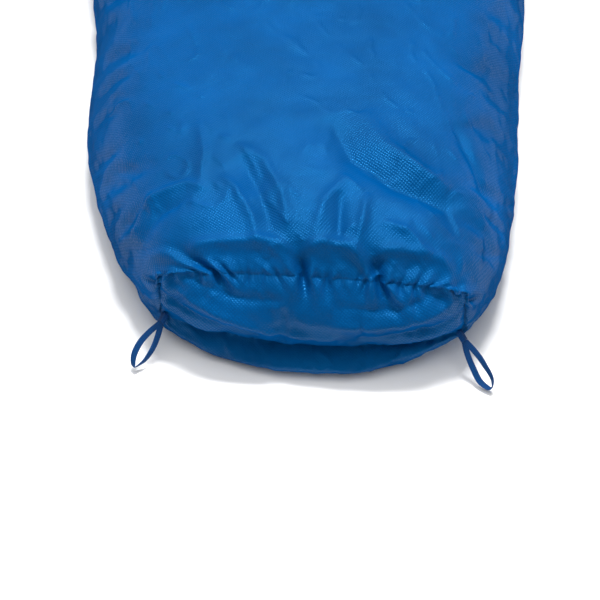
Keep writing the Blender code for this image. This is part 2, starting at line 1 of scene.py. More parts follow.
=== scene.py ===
"""A blue mummy sleeping bag on its back, seen from its boxed foot.

+Y runs from the foot to the crown, +X is the zip side, +Z is up, and lengths are in metres.
"""

import json
import math
import bpy
import numpy as np
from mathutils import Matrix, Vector, noise
from mathutils.bvhtree import BVHTree


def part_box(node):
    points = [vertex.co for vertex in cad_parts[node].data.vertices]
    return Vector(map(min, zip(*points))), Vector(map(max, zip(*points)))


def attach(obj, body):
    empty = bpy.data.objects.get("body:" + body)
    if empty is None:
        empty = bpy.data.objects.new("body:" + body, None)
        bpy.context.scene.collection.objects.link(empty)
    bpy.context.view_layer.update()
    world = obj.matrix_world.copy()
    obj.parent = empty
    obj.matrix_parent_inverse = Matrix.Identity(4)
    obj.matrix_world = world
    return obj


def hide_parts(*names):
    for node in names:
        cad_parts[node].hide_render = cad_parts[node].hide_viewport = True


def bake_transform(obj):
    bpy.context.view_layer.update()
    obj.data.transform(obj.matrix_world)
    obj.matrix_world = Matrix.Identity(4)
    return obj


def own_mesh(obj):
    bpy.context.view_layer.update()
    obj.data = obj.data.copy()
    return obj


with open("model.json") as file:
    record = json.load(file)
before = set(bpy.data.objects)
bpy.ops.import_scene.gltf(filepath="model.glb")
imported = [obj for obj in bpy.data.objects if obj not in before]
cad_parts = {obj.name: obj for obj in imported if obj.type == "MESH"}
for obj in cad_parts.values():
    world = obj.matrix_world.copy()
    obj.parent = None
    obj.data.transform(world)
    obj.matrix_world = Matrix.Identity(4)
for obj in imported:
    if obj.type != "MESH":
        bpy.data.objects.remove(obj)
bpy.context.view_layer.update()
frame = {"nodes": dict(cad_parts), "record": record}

# ---------------------------------------------------------------- camera
# A long lens looking down at the foot end, from the middle of the bag's width.
view_angle = math.radians(48.0)
view_distance = 2.2
looks_at = Vector((-0.0126, -1.035, 0.107))
lens = bpy.data.cameras.new("foot_end_camera")
lens.sensor_width = 36.0
lens.lens = 115.0
lens.clip_end = 60.0
camera = bpy.data.objects.new("foot_end_camera", lens)
camera.location = looks_at + view_distance * Vector((0, -math.cos(view_angle), math.sin(view_angle)))
camera.rotation_euler = (math.pi / 2 - view_angle, 0, 0)
bpy.context.scene.collection.objects.link(camera)
bpy.context.scene.camera = camera

# ---------------------------------------------------------------- the bag's form
# The bag is cut as a tube that tapers from the shoulders to the feet. Lying down, its underside is flat and
# its top is a low arch of loose fill, boxier at the foot. These curves give its half width and its height.
FOOT_Y, CROWN_Y, SIDE_SEAM_Z = -1.0, 1.045, 0.055
taper = [
    (FOOT_Y, 0.198, 0.60),
    (-0.92, 0.236, 0.30),
    (-0.75, 0.273, 0.13),
    (-0.55, 0.285, 0.10),
    (0.50, 0.390, 0.10),
    (0.70, 0.356, -0.40),
    (0.90, 0.240, -0.80),
    (1.01, 0.132, -1.50),
    (CROWN_Y, 0.062, -2.50),
]
loft = [
    (FOOT_Y, 0.150, 0.35),
    (-0.92, 0.166, 0.05),
    (-0.60, 0.165, -0.01),
    (0.45, 0.155, -0.01),
    (0.75, 0.150, -0.05),
    (0.95, 0.120, -0.30),
    (CROWN_Y, 0.080, -0.50),
]


def along(curve, y):
    """The value of a (y, value, slope) curve at each y."""
    at, value, slope = np.array(curve).T
    y = np.clip(y, at[0], at[-1])
    k = np.clip(np.searchsorted(at, y, side="right") - 1, 0, len(at) - 2)
    span = at[k + 1] - at[k]
    t = (y - at[k]) / span
    rising = t * t * (3 - 2 * t)
    return (
        value[k] * (1 - rising)
        + value[k + 1] * rising
        + slope[k] * span * t * (1 - t) ** 2
        + slope[k + 1] * span * t * t * (t - 1)
    )


def ease(value, start, end):
    """0 before start, 1 after end, and smooth between."""
    t = np.clip((value - start) / (end - start), 0, 1)
    return t * t * (3 - 2 * t)


def leaning(points):
    """The foot end lies a little askew, as a bag does when it is thrown down."""
    share = ease(-points[..., 1], 0.50, 0.85)
    moved = points.copy()
    moved[..., 0] -= share * 0.055 * (points[..., 1] - FOOT_Y)
    moved[..., 1] -= share * 0.080 * points[..., 0]
    return moved


def hoop(y, turn, over, inner=False):
    """Points round the upper (over) or lower half of the bag's section, by angle from -90 to 90 degrees."""
    side = np.sign(turn) * np.abs(np.sin(turn)) ** 0.8
    rise = np.maximum(np.cos(turn), 0) ** 0.8
    crest = along(loft, y)
    room = np.minimum((CROWN_Y - y) / 0.105, 1)
    x = along(taper, y) * side * (0.88 if inner else 1)
    if over and inner:
        z = SIDE_SEAM_Z + np.maximum(crest - 0.045 - SIDE_SEAM_Z, 0.010) * rise * room
    elif over:
        z = SIDE_SEAM_Z + (crest - SIDE_SEAM_Z) * rise
    elif inner:
        z = SIDE_SEAM_Z - 0.022 * rise * room
    else:
        z = SIDE_SEAM_Z * np.maximum(1 - 1.12 * rise, 0)
    return np.stack([x, y + 0 * x, z], -1)


def half_hoop(y, across, over, cut=0.0, inner=False):
    """The same points spaced evenly from -X to +X, and how far along the cloth each lies from the middle."""
    line = hoop(y, np.linspace(-math.pi / 2, math.pi / 2, 301), over, inner)
    run = np.concatenate([[0], np.cumsum(np.linalg.norm(np.diff(line, axis=0), axis=1))])
    at = across * (run[-1] - cut)
    x, z = np.interp(at, run, line[:, 0]), np.interp(at, run, line[:, 2])
    return np.stack([x, np.full_like(at, y), z], -1), at - run[-1] / 2


# ---------------------------------------------------------------- outer cloth: how it is cut
# The shell is light nylon. A boxed foot panel closes the tube: the top and bottom quilts roll over its edges
# to a gathered seam, so the panel lies in a shallow recess. Rows of the mesh are finest at the foot.
PANEL_HALF = 0.177
panel_across, panel_up = 72, 16
hoop_columns = panel_across + panel_up
roll_rows = 12
rows_y = [-0.985]
while rows_y[-1] < CROWN_Y - 0.004:
    step = float(np.clip(0.005 + (rows_y[-1] + 0.72) * 0.03, 0.005, 0.014))
    rows_y.append(min(rows_y[-1] + step, CROWN_Y))
rows_y = np.array(rows_y)
CHIN_Y = 0.60
chin_row = int(np.searchsorted(rows_y, CHIN_Y))
columns = np.linspace(0, 1, hoop_columns + 1)


def zip_open(y, width):
    """How far the cloth stops short of the side seam, to bare the zip, with rounded ends."""
    return width * ease(y, -0.505, -0.470) * ease(-y, -0.520, -0.500)


def chin_line(x):
    """The top quilt's edge across the chest, lower on the zip side."""
    t = (x + 0.36) / 0.75
    return 0.63 * (1 - t) ** 2 + 2 * (2 * 0.575 - (0.63 + 0.505) / 2) * t * (1 - t) + 0.505 * t * t


def seam_contour(over):
    """The seam round the foot panel: up one side, along the edge and down the other, from -X to +X."""
    half = panel_up // 2
    corner_z, edge_z = (0.117, 0.126) if over else (0.047, 0.034)
    middle_z = 0.082
    side_x = np.full(half, PANEL_HALF)
    side_z = middle_z + (corner_z - middle_z) * np.arange(half) / half
    x = np.linspace(-PANEL_HALF, PANEL_HALF, panel_across + 1)
    bow = 1 - (x / PANEL_HALF) ** 2
    z = corner_z + (edge_z - corner_z) * bow**0.8
    y = -1.016 - (0.0 if over else 0.022) * bow
    side_y = np.full(half, -1.016)
    xs = np.concatenate([-side_x, x, side_x[::-1]])
    ys = np.concatenate([side_y, y, side_y])
    zs = np.concatenate([side_z, z, side_z[::-1]])
    return np.stack([xs, ys, zs], -1)


def foot_roll(end, before, seam, over):
    """Rows from the tube's end, forward and round to the seam, as the padded edge rolls over it."""
    heading = end - before
    heading /= np.linalg.norm(heading, axis=1, keepdims=True)
    outward = end - seam
    outward[:, 1] = 0
    outward /= np.linalg.norm(outward, axis=1, keepdims=True) + 1e-9
    inside = np.clip(1 - (np.abs(seam[:, 0]) / PANEL_HALF) ** 2, 0, 1) ** 0.7
    if over:
        forward, lift, front = 0.022 - 0.012 * inside, 0.010 - 0.005 * inside, 0.010 - 0.007 * inside
    else:
        forward, lift, front = 0.022 + 0.068 * inside, 0.010 - 0.012 * inside, 0.010 + 0.036 * inside
    first = end + forward[:, None] * heading
    second = seam + lift[:, None] * outward + front[:, None] * np.array([0.0, -1.0, 0.0])
    rows = []
    for k in range(1, roll_rows + 1):
        t = k / roll_rows
        ends = (1 - t) ** 3 * end + 3 * t * (1 - t) ** 2 * first
        rows.append(ends + 3 * t * t * (1 - t) * second + t**3 * seam)
    return np.array(rows)


def panel_patch(upper, lower):
    """The foot panel between the two seams, bulging forward with its fill."""
    half = panel_up // 2
    top, low = upper[half : half + panel_across + 1], lower[half : half + panel_across + 1]
    left = np.concatenate([lower[half:0:-1], upper[: half + 1]])
    right = np.concatenate([lower[half + panel_across : -1], upper[half + panel_across :][::-1]])
    u = np.linspace(0, 1, panel_across + 1)[None, :, None]
    v = np.linspace(0, 1, panel_up + 1)[:, None, None]
    patch = (1 - v) * low[None] + v * top[None] + (1 - u) * left[:, None] + u * right[:, None]
    patch -= (1 - u) * (1 - v) * low[0] + u * (1 - v) * low[-1] + (1 - u) * v * top[0] + u * v * top[-1]
    swell = (1 - (2 * u - 1) ** 6) * np.sin(np.pi * v**0.9) ** 0.8
    patch[..., 1] -= 0.021 * swell[..., 0]
    return patch


top_rows, top_u = zip(*[half_hoop(y, columns, True, cut=zip_open(y, 0.007)) for y in rows_y[: chin_row + 1]])
low_rows, low_u = zip(*[half_hoop(y, columns, False, cut=zip_open(y, 0.007)) for y in rows_y])
upper_seam = seam_contour(True)
lower_seam = seam_contour(False)
top_roll = foot_roll(top_rows[0], top_rows[1], upper_seam, True)
low_roll = foot_roll(low_rows[0], low_rows[1], lower_seam, False)


def tucked(points):
    """The padded sides lap over the bottom quilt's corners, which are drawn in under them."""
    share = ease(-points[..., 1], 0.93, 1.00) * ease(SIDE_SEAM_Z - points[..., 2], 0.0, 0.035)
    moved = points.copy()
    moved[..., 0] *= 1 - share * np.where(points[..., 0] > 0, 0.13, 0.01)
    return moved


top_grid = leaning(tucked(np.concatenate([top_roll[::-1], np.array(top_rows)])))
low_grid = leaning(tucked(np.concatenate([low_roll[::-1], np.array(low_rows)])))
panel_grid = leaning(tucked(panel_patch(upper_seam, lower_seam)))

# ---------------------------------------------------------------- outer cloth: how it gathers
# The cloth is a little larger than the lining and stitched short at the seams, so it puckers there and swells
# between them. The foot end is simulated as cloth, held at its seams, with the fill as a light pressure.
foot_rows = int(np.searchsorted(rows_y, -0.42)) + roll_rows


def weld(grids):
    """One list of points for several grids that share their edges, and each grid's indices into it."""
    points, known, indices = [], {}, []
    for grid in grids:
        index = []
        for point in grid.reshape(-1, 3):
            key = tuple(np.round(point, 5))
            if key not in known:
                known[key] = len(points)
                points.append(point)
            index.append(known[key])
        indices.append(np.array(index).reshape(grid.shape[:2]))
    return np.array(points), indices


def quads(index, flip=False):
    """The faces of a grid of indices."""
    a, b, c, d = index[:-1, :-1], index[:-1, 1:], index[1:, 1:], index[1:, :-1]
    corners = (a, d, c, b) if flip else (a, b, c, d)
    return np.stack(corners, -1).reshape(-1, 4)


def gathered(points, faces, held, grown, pressure, frames, most):
    """Where the cloth goes when it is that much larger than its form and pressed out by its fill."""
    mesh = bpy.data.meshes.new("cloth_form")
    mesh.from_pydata(points.tolist(), [], faces.tolist())
    form = bpy.data.objects.new("cloth_form", mesh)
    bpy.context.scene.collection.objects.link(form)
    pins = form.vertex_groups.new(name="held")
    pins.add(np.nonzero(held)[0].tolist(), 1.0, "REPLACE")
    cloth = form.modifiers.new("cloth", "CLOTH")
    settings = cloth.settings
    settings.quality = 6
    settings.mass = 0.15
    settings.tension_stiffness = 25
    settings.compression_stiffness = 25
    settings.shear_stiffness = 8
    settings.bending_stiffness = 0.12
    settings.tension_damping = 12
    settings.air_damping = 4
    settings.vertex_group_mass = "held"
    settings.pin_stiffness = 1.0
    settings.shrink_min = -grown
    settings.use_pressure = True
    settings.uniform_pressure_force = pressure
    settings.effector_weights.gravity = 0
    cloth.collision_settings.use_collision = False
    cloth.point_cache.frame_start = 1
    cloth.point_cache.frame_end = frames
    for number in range(1, frames + 1):
        bpy.context.scene.frame_set(number)
    settled = form.evaluated_get(bpy.context.evaluated_depsgraph_get())
    shape = np.empty(len(points) * 3)
    settled.data.vertices.foreach_get("co", shape)
    bpy.context.scene.frame_set(1)
    bpy.data.objects.remove(form)
    shift = shape.reshape(-1, 3) - points
    size = np.linalg.norm(shift, axis=1, keepdims=True)
    return points + shift * (most * np.tanh(size / most) / np.maximum(size, 1e-9))


foot_top, foot_low = top_grid[: foot_rows + 1], low_grid[: foot_rows + 1]
foot_points, (top_i, low_i, panel_i) = weld([foot_top, foot_low, panel_grid])
foot_faces = [quads(top_i), quads(low_i, True), quads(panel_i)]
held = np.zeros(len(foot_points), bool)
held[top_i[roll_rows:, [0, -1]]] = True
held[low_i[roll_rows:, [0, -1]]] = True
held[top_i[-3:]] = True
held[low_i[-3:]] = True
held[panel_i[[0, -1]]] = True
held[panel_i[:, [0, -1]]] = True
pressed = gathered(foot_points, np.concatenate(foot_faces), held, 0.05, 2.0, 24, 0.009)
free = np.ones(len(foot_points))
free[top_i] = 0.30 + 0.70 * ease(np.arange(foot_rows + 1.0), 3, roll_rows + 9)[:, None]
foot_points += free[:, None] * (pressed - foot_points)

# ---------------------------------------------------------------- outer cloth: how it creases
# Each fold is a line on the cloth, a width and a height. Puckers start at the seam round the foot panel,
# where the top quilt is gathered on to it, and run up over its rolled edge and down the panel.


def run_along(line):
    """Distance along a line of points from its middle."""
    run = np.concatenate([[0], np.cumsum(np.linalg.norm(np.diff(line, axis=0), axis=1))])
    return run - run[-1] / 2


def climb(grid):
    """Distance of each point of a grid from its first row."""
    steps = np.linalg.norm(np.diff(grid, axis=0), axis=2)
    return np.concatenate([np.zeros((1, grid.shape[1])), np.cumsum(steps, axis=0)])


along_seam = np.zeros(len(foot_points))
cut_top = np.zeros(len(foot_points))
cut_low = np.zeros(len(foot_points))
over_seam = np.zeros(len(foot_points))
over_low_seam = np.zeros(len(foot_points))
along_seam[low_i] = run_along(lower_seam)
along_seam[panel_i] = np.linspace(-PANEL_HALF, PANEL_HALF, panel_across + 1)
along_seam[top_i] = run_along(upper_seam)
over_low_seam[top_i] = 1.0
over_low_seam[low_i] = -climb(foot_low)
over_low_seam[panel_i] = climb(panel_grid)
over_seam[low_i] = -1.0
over_seam[panel_i] = -climb(panel_grid[::-1])[::-1]
over_seam[top_i] = climb(foot_top)
cut_low[low_i] = np.concatenate([np.repeat(low_u[0][None], roll_rows, 0), low_u[: foot_rows + 1 - roll_rows]])
cut_top[top_i] = np.concatenate([np.repeat(top_u[0][None], roll_rows, 0), top_u[: foot_rows + 1 - roll_rows]])
cut_top[panel_i[:-1]] = np.linspace(-PANEL_HALF, PANEL_HALF, panel_across + 1)


def subdivided(points, groups, fields):
    """A smoothly subdivided mesh: its points, its faces by group, and the given fields on its points."""
    faces = np.concatenate(groups)
    mesh = bpy.data.meshes.new("finer_cloth")
    mesh.from_pydata(points.tolist(), [], faces.tolist())
    sorts = np.repeat(np.arange(len(groups)), [len(group) for group in groups])
    mesh.attributes.new("group", "INT", "FACE").data.foreach_set("value", sorts.astype(np.int32))
    for name, values in fields.items():
        mesh.attributes.new(name, "FLOAT", "POINT").data.foreach_set("value", values.astype(np.float32))
    form = bpy.data.objects.new("finer_cloth", mesh)
    bpy.context.scene.collection.objects.link(form)
    form.modifiers.new("finer", "SUBSURF").levels = 1
    bpy.context.view_layer.update()
    fine = form.evaluated_get(bpy.context.evaluated_depsgraph_get()).to_mesh()
    shape = np.empty(len(fine.vertices) * 3)
    fine.vertices.foreach_get("co", shape)
    corners = np.empty(len(fine.loops), int)
    fine.loops.foreach_get("vertex_index", corners)
    found = np.empty(len(fine.polygons), int)
    fine.attributes["group"].data.foreach_get("value", found)
    finer_fields = {}
    for name in fields:
        finer_fields[name] = np.empty(len(fine.vertices))
        fine.attributes[name].data.foreach_get("value", finer_fields[name])
    corners = corners.reshape(-1, 4)
    bpy.data.objects.remove(form)
    return shape.reshape(-1, 3), [corners[found == k] for k in range(len(groups))], finer_fields


def normals(points, faces):
    """Unit normals of a mesh of quads at its points."""
    across = points[faces[:, 2]] - points[faces[:, 0]]
    other = points[faces[:, 3]] - points[faces[:, 1]]
    facing = np.cross(across, other)
    total = np.zeros_like(points)
    for k in range(4):
        np.add.at(total, faces[:, k], facing)
    return total / np.maximum(np.linalg.norm(total, axis=1, keepdims=True), 1e-12)


def fold(at, path, width, height):
    """The height of one fold at each point: full along the middle of its path and fading to its ends."""
    best = np.full(len(at), 9.0)
    share = np.zeros(len(at))
    path = np.array(path)
    for k in range(len(path) - 1):
        leg = path[k + 1] - path[k]
        t = np.clip(((at - path[k]) @ leg) / (leg @ leg), 0, 1)
        away = np.linalg.norm(at - path[k] - t[:, None] * leg, axis=1)
        nearer = away < best
        best = np.where(nearer, away, best)
        share = np.where(nearer, (k + t) / (len(path) - 1), share)
    return height * np.exp(-((best / width) ** 1.5)) * np.sin(math.pi * share) ** 0.6


def pucker(run, over, start, slant, up, down, width, depth):
    """The depth of one pucker: sharp at the seam, widening and fading up the quilt and down the panel."""
    away = run - (start + slant * over)
    fade = np.where(over > 0, np.clip(1 - over / up, 0, 1), np.clip(1 + over / down, 0, 1)) ** 1.3
    wide = width * (0.45 + 1.2 * np.abs(over) / (0.5 * (up + down)))
    hollow = np.exp(-((away / wide) ** 2)) - 0.45 * np.exp(-(((np.abs(away) - 2.1 * wide) / wide) ** 2))
    return -depth * fade * hollow


fields = {"along_seam": along_seam, "over_seam": over_seam, "over_low_seam": over_low_seam}
fields |= {"cut_top": cut_top, "cut_low": cut_low}
foot_points, (top_faces, low_faces, panel_faces), fields = subdivided(foot_points, foot_faces, fields)
run, over, over_low = fields["along_seam"], fields["over_seam"], fields["over_low_seam"]
plan = foot_points[:, :2]
on_top = ease(over, 0.0, 0.03)

# Long folds of the top quilt: two hollows that slant towards the seam, with a ridge beside each.
top_folds = (
    ([(-0.086, -0.868), (-0.066, -0.905), (-0.052, -0.950), (-0.042, -0.992)], 0.012, -0.0083),
    ([(-0.106, -0.895), (-0.086, -0.918), (-0.068, -0.958), (-0.060, -0.995)], 0.006, 0.0045),
    ([(-0.088, -0.845), (-0.056, -0.872), (-0.034, -0.925), (-0.024, -0.985)], 0.006, 0.0053),
    ([(0.020, -0.800), (0.050, -0.868), (0.100, -0.908), (0.160, -0.930), (0.172, -0.975)], 0.016, -0.0128),
    ([(0.060, -0.790), (0.085, -0.845), (0.130, -0.885), (0.165, -0.905)], 0.012, 0.0090),
    ([(0.004, -0.985), (0.016, -0.940), (0.040, -0.905), (0.062, -0.925)], 0.007, 0.0053),
    ([(0.066, -0.925), (0.060, -0.960), (0.050, -1.005)], 0.006, 0.0053),
    ([(0.036, -0.925), (0.033, -0.960), (0.030, -0.995)], 0.008, -0.0067),
    ([(0.080, -0.965), (0.112, -0.975), (0.136, -1.000)], 0.006, 0.0053),
    ([(-0.215, -0.940), (-0.190, -0.908), (-0.146, -0.900), (-0.120, -0.915)], 0.007, 0.0053),
    ([(-0.205, -0.960), (-0.178, -0.930), (-0.140, -0.925)], 0.010, -0.0060),
    ([(-0.135, -0.800), (-0.126, -0.855), (-0.130, -0.915)], 0.005, 0.0037),
    ([(0.170, -0.790), (0.196, -0.845), (0.212, -0.895)], 0.008, -0.0060),
    ([(-0.010, -0.790), (-0.004, -0.850), (-0.014, -0.900)], 0.010, 0.0045),
)
rise = sum(fold(plan, path, width, height) for path, width, height in top_folds)
rise *= on_top

# The gathers: four deep puckers and many small ones.
for start, slant, up, down, width, depth in (
    (-0.110, -0.55, 0.058, 0.030, 0.0075, 0.0100),
    (-0.010, -0.10, 0.068, 0.046, 0.0085, 0.0120),
    (0.076, -0.45, 0.062, 0.050, 0.0080, 0.0110),
    (0.164, -0.35, 0.044, 0.030, 0.0060, 0.0065),
):
    rise += pucker(run, over, start, slant, up, down, width, depth)

# Between them the fill stands up in a scalloped crest above the seam.
dips = sum(np.exp(-(((run - start) / 0.013) ** 2)) for start in (-0.130, -0.014, 0.056, 0.150))
crest = 0.043 - 0.016 * dips
inside = 1 - ease(np.abs(run), 0.13, 0.19)
rise += 0.0042 * np.exp(-(((over - crest) / 0.0075) ** 2)) * (1 - 0.6 * dips) * inside
rise -= 0.0022 * np.exp(-(((over - crest + 0.020) / 0.010) ** 2)) * inside
chance = np.random.default_rng(7)
for start in np.arange(-0.196, 0.200, 0.0175):
    place = start + chance.uniform(-0.005, 0.005)
    slant = chance.uniform(-0.5, 0.4)
    up, down = chance.uniform(0.018, 0.040), chance.uniform(0.014, 0.044)
    width, depth = chance.uniform(0.003, 0.0052), chance.uniform(0.0012, 0.0048)
    rise += pucker(run, over, place, slant, up, down, width, depth)
for start in np.arange(-0.170, 0.172, 0.021):
    place = start + chance.uniform(-0.008, 0.008)
    up, down = chance.uniform(0.010, 0.026), chance.uniform(0.010, 0.022)
    slant, depth = chance.uniform(-0.8, 0.8), chance.uniform(0.0008, 0.0024)
    rise += pucker(run, over_low, place, slant, up, down, 0.0045, depth)

# The panel is slack: soft folds fan out from its two side seams.
front = np.stack([run, over_low], -1)
on_panel = ease(-over, 0.0, 0.006) * ease(over_low, 0.0, 0.006)
panel_folds = (
    ([(-0.178, 0.064), (-0.120, 0.052), (-0.050, 0.036), (0.040, 0.030)], 0.008, 0.0063),
    ([(-0.178, 0.046), (-0.120, 0.034), (-0.050, 0.020)], 0.006, -0.0063),
    ([(-0.178, 0.028), (-0.130, 0.018), (-0.080, 0.012)], 0.005, 0.0042),
    ([(0.178, 0.066), (0.120, 0.054), (0.050, 0.050), (-0.030, 0.054)], 0.008, 0.0056),
    ([(0.178, 0.044), (0.110, 0.036), (0.050, 0.032)], 0.006, -0.0056),
    ([(0.178, 0.028), (0.120, 0.020), (0.040, 0.014)], 0.006, 0.0035),
    ([(-0.150, 0.084), (-0.090, 0.074), (-0.030, 0.076)], 0.006, -0.0042),
    ([(0.020, 0.074), (0.090, 0.070), (0.150, 0.082)], 0.006, -0.0042),
)
soft = sum(fold(front, path, width, height) for path, width, height in panel_folds)
rise += soft * on_panel

# The top quilt's seam goes on past the panel, up and out over each corner.
seam_plane = np.stack([run, over], -1)
for side in (-1, 1):
    path = [(side * 0.176, -0.010), (side * 0.182, 0.010), (side * 0.188, 0.042)]
    rise += fold(seam_plane, path, 0.0045, -0.0075)

# Fine crinkles of light cloth: round ones all over, and long ones down the sides. The first seam across the
# quilts ends this stretch.
QUILT_SEAMS = (-0.42, -0.12, 0.18)
QUILT_DEPTH = 0.005
fine_faces = np.concatenate([top_faces, low_faces, panel_faces])
steep = np.clip(1 - np.abs(normals(foot_points, fine_faces)[:, 2]), 0, 1)
crinkles = np.array(
    [
        (noise.noise(Vector((x * 42, y * 34, z * 42))), noise.noise(Vector((x * 90, y * 14, z * 90 + 5))))
        for x, y, z in foot_points
    ]
)
creases = [abs(noise.noise(Vector((x * 26 + y * 9, y * 15, z * 20)))) for x, y, z in foot_points]
rise += 0.0011 * crinkles[:, 0] + 0.0016 * steep * crinkles[:, 1]
sharp = np.exp(-((np.array(creases) / 0.05) ** 1.2)) * ease(crinkles[:, 1], -0.35, 0.35)
rise += 0.0024 * (1 - steep) * sharp
rise *= 1 - ease(foot_points[:, 1], -0.47, -0.425)
rise -= QUILT_DEPTH * np.exp(-(((foot_points[:, 1] - QUILT_SEAMS[0]) / 0.012) ** 2))
foot_points += rise[:, None] * normals(foot_points, fine_faces)
foot_points[:, 2] = np.maximum(foot_points[:, 2], 0.0006)
proud = np.maximum(foot_points[:, 2] - 0.177, 0)
foot_points[:, 2] -= 0.5 * proud

# ---------------------------------------------------------------- outer cloth: finish
# Woven nylon with a calendered face. It keeps a broad soft gloss, and at a glancing angle it turns greyer,
# where the gloss gives way
# to a paler matte layer: a painted sheen. Its fine diagonal weave shows as points of light. Real threads are
# finer than can show, so the floats are drawn 2.9 mm apart.


def srgb(code):
    """Linear colour of a hex code."""
    parts = [int(code[k : k + 2], 16) / 255 for k in (1, 3, 5)]
    return tuple(p / 12.92 if p <= 0.04045 else ((p + 0.055) / 1.055) ** 2.4 for p in parts) + (1.0,)


def add(material, kind, settings=None, **links):
    """Adds a node to a material, with its settings and what feeds each of its sockets."""
    tree = material.node_tree
    made = tree.nodes.new(kind)
    for key, value in (settings or {}).items():
        if isinstance(key, str) and hasattr(made, key):
            setattr(made, key, value)
        else:
            made.inputs[key].default_value = value
    for key, source in links.items():
        numbered = key[0] == "i" and key[1:].isdigit()
        tree.links.new(source, made.inputs[int(key[1:]) if numbered else key.replace("_", " ")])
    return made


def blank(name):
    """A new material with only its output, and that output's surface socket."""
    material = bpy.data.materials.new(name)
    material.use_nodes = True
    material.node_tree.nodes.clear()
    return material, add(material, "ShaderNodeOutputMaterial").inputs["Surface"]


def nylon(name, dark, light):
    """Woven nylon: its floats stand in diagonal rows, smoother than the ground between them."""
    material, surface = blank(name)
    where = add(material, "ShaderNodeTexCoord").outputs["UV"]
    on_bias = {"Rotation": (0, 0, math.radians(38))}
    turned = add(material, "ShaderNodeMapping", on_bias, Vector=where).outputs[0]
    floats = add(
        material,
        "ShaderNodeTexVoronoi",
        {"voronoi_dimensions": "2D", "Scale": 1 / 0.0029, "Randomness": 0.2},
        Vector=turned,
    )
    dot = add(
        material,
        "ShaderNodeMapRange",
        {"From Min": 0.12, "From Max": 0.52, "To Min": 1.0, "To Max": 0.0},
        Value=floats.outputs["Distance"],
    ).outputs[0]
    cloudy = add(material, "ShaderNodeTexNoise", {"Scale": 9.0, "Detail": 4.0}, Vector=where).outputs["Fac"]
    tones = add(material, "ShaderNodeValToRGB", Fac=cloudy)
    tones.color_ramp.elements[0].position = 0.32
    tones.color_ramp.elements[0].color = srgb(dark)
    tones.color_ramp.elements[1].position = 0.68
    tones.color_ramp.elements[1].color = srgb(light)
    ground = add(material, "ShaderNodeHueSaturation", {"Value": 0.80}, Color=tones.outputs[0]).outputs[0]
    blended = {"data_type": "RGBA"}
    colour = add(material, "ShaderNodeMix", blended, i0=dot, i6=ground, i7=tones.outputs[0]).outputs[2]
    rubbed = add(material, "ShaderNodeTexNoise", {"Scale": 30.0, "Detail": 4.0}, Vector=where).outputs["Fac"]
    dull = add(material, "ShaderNodeMapRange", {"To Min": 0.02, "To Max": 0.16}, Value=rubbed).outputs[0]
    smooth = add(material, "ShaderNodeMapRange", {"To Min": 0.44, "To Max": 0.16}, Value=dot).outputs[0]
    gloss = add(material, "ShaderNodeMath", {"operation": "ADD"}, i0=dull, i1=smooth).outputs[0]
    raised = add(material, "ShaderNodeBump", {"Strength": 0.55, "Distance": 0.0006}, Height=dot).outputs[0]
    creased = {"Scale": 75.0, "Detail": 4.0, "Roughness": 0.62, "Distortion": 0.6}
    crinkle = add(material, "ShaderNodeTexNoise", creased, Vector=where).outputs["Fac"]
    relief = add(
        material, "ShaderNodeBump", {"Strength": 0.5, "Distance": 0.0016}, Height=crinkle, Normal=raised
    ).outputs[0]
    cloth = add(
        material,
        "ShaderNodeBsdfPrincipled",
        {"IOR": 1.53, "Specular IOR Level": 0.75, "Specular Tint": srgb("#1a94dc")},
        Base_Color=colour,
        Roughness=gloss,
        Normal=relief,
    )
    # Painted sheen: at a glancing angle the gloss gives way to a matte layer whose colour is 1.35 times paler
    # than the cloth's.
    painted_sheen_colour = add(material, "ShaderNodeHueSaturation", {"Value": 1.35}, Color=colour).outputs[0]
    matte_with_painted_sheen = add(
        material,
        "ShaderNodeBsdfPrincipled",
        {"Specular IOR Level": 0.0, "Roughness": 0.9},
        Base_Color=painted_sheen_colour,
        Normal=relief,
    )
    glancing = add(material, "ShaderNodeLayerWeight", {"Blend": 0.5}).outputs["Facing"]
    at_edges = {"From Min": 0.26, "From Max": 0.68, "To Min": 0.0, "To Max": 0.96}
    painted_sheen_share = add(material, "ShaderNodeMapRange", at_edges, Value=glancing).outputs[0]
    cloth = add(material, "ShaderNodeMixShader", i0=painted_sheen_share, i1=cloth.outputs[0], i2=matte_with_painted_sheen.outputs[0])
    material.node_tree.links.new(cloth.outputs[0], surface)
    return material


shell_nylon = nylon("calendered_woven_nylon", "#003a6c", "#014782")
# The bottom quilt's cloth: the same nylon in slightly darker colours, painted shade for the band that lies in
# shade along the floor.
shaded_under_nylon = nylon("woven_nylon_shaded_copy", "#003768", "#014479")

# ---------------------------------------------------------------- top quilt
# The chest and leg quilt's outer cloth over its fill.


def soft_piece(name, parts, material, finer=1):
    """A named piece from parts, each the points, the faces and the cloth's own coordinates at the points."""
    points = np.concatenate([part[0] for part in parts])
    starts = np.cumsum([0] + [len(part[0]) for part in parts])
    faces = [face for part, start in zip(parts, starts) for face in (part[1] + start).tolist()]
    cut = np.concatenate([part[2] for part in parts])
    mesh = bpy.data.meshes.new(name)
    mesh.from_pydata(points.tolist(), [], faces)
    layer = mesh.uv_layers.new(name="cut")
    corners = np.empty(len(mesh.loops), int)
    mesh.loops.foreach_get("vertex_index", corners)
    layer.data.foreach_set("uv", cut[corners].astype(np.float32).ravel())
    mesh.materials.append(material)
    mesh.shade_smooth()
    piece = bpy.data.objects.new(name, mesh)
    bpy.context.scene.collection.objects.link(piece)
    if finer:
        modifier = piece.modifiers.new("finer", "SUBSURF")
        modifier.levels = modifier.render_levels = finer
        modifier.boundary_smooth = "PRESERVE_CORNERS"
    return piece


def taken(faces):
    """The points that some faces use, and the same faces in those points' own numbers."""
    used = np.unique(faces)
    number = np.zeros(used[-1] + 1, int)
    number[used] = np.arange(len(used))
    return used, number[faces]


def grid_part(grid, cut, flip=False):
    """A grid of points as a part for soft_piece."""
    index = np.arange(grid.shape[0] * grid.shape[1]).reshape(grid.shape[:2])
    return grid.reshape(-1, 3), quads(index, flip), cut.reshape(-1, 2)


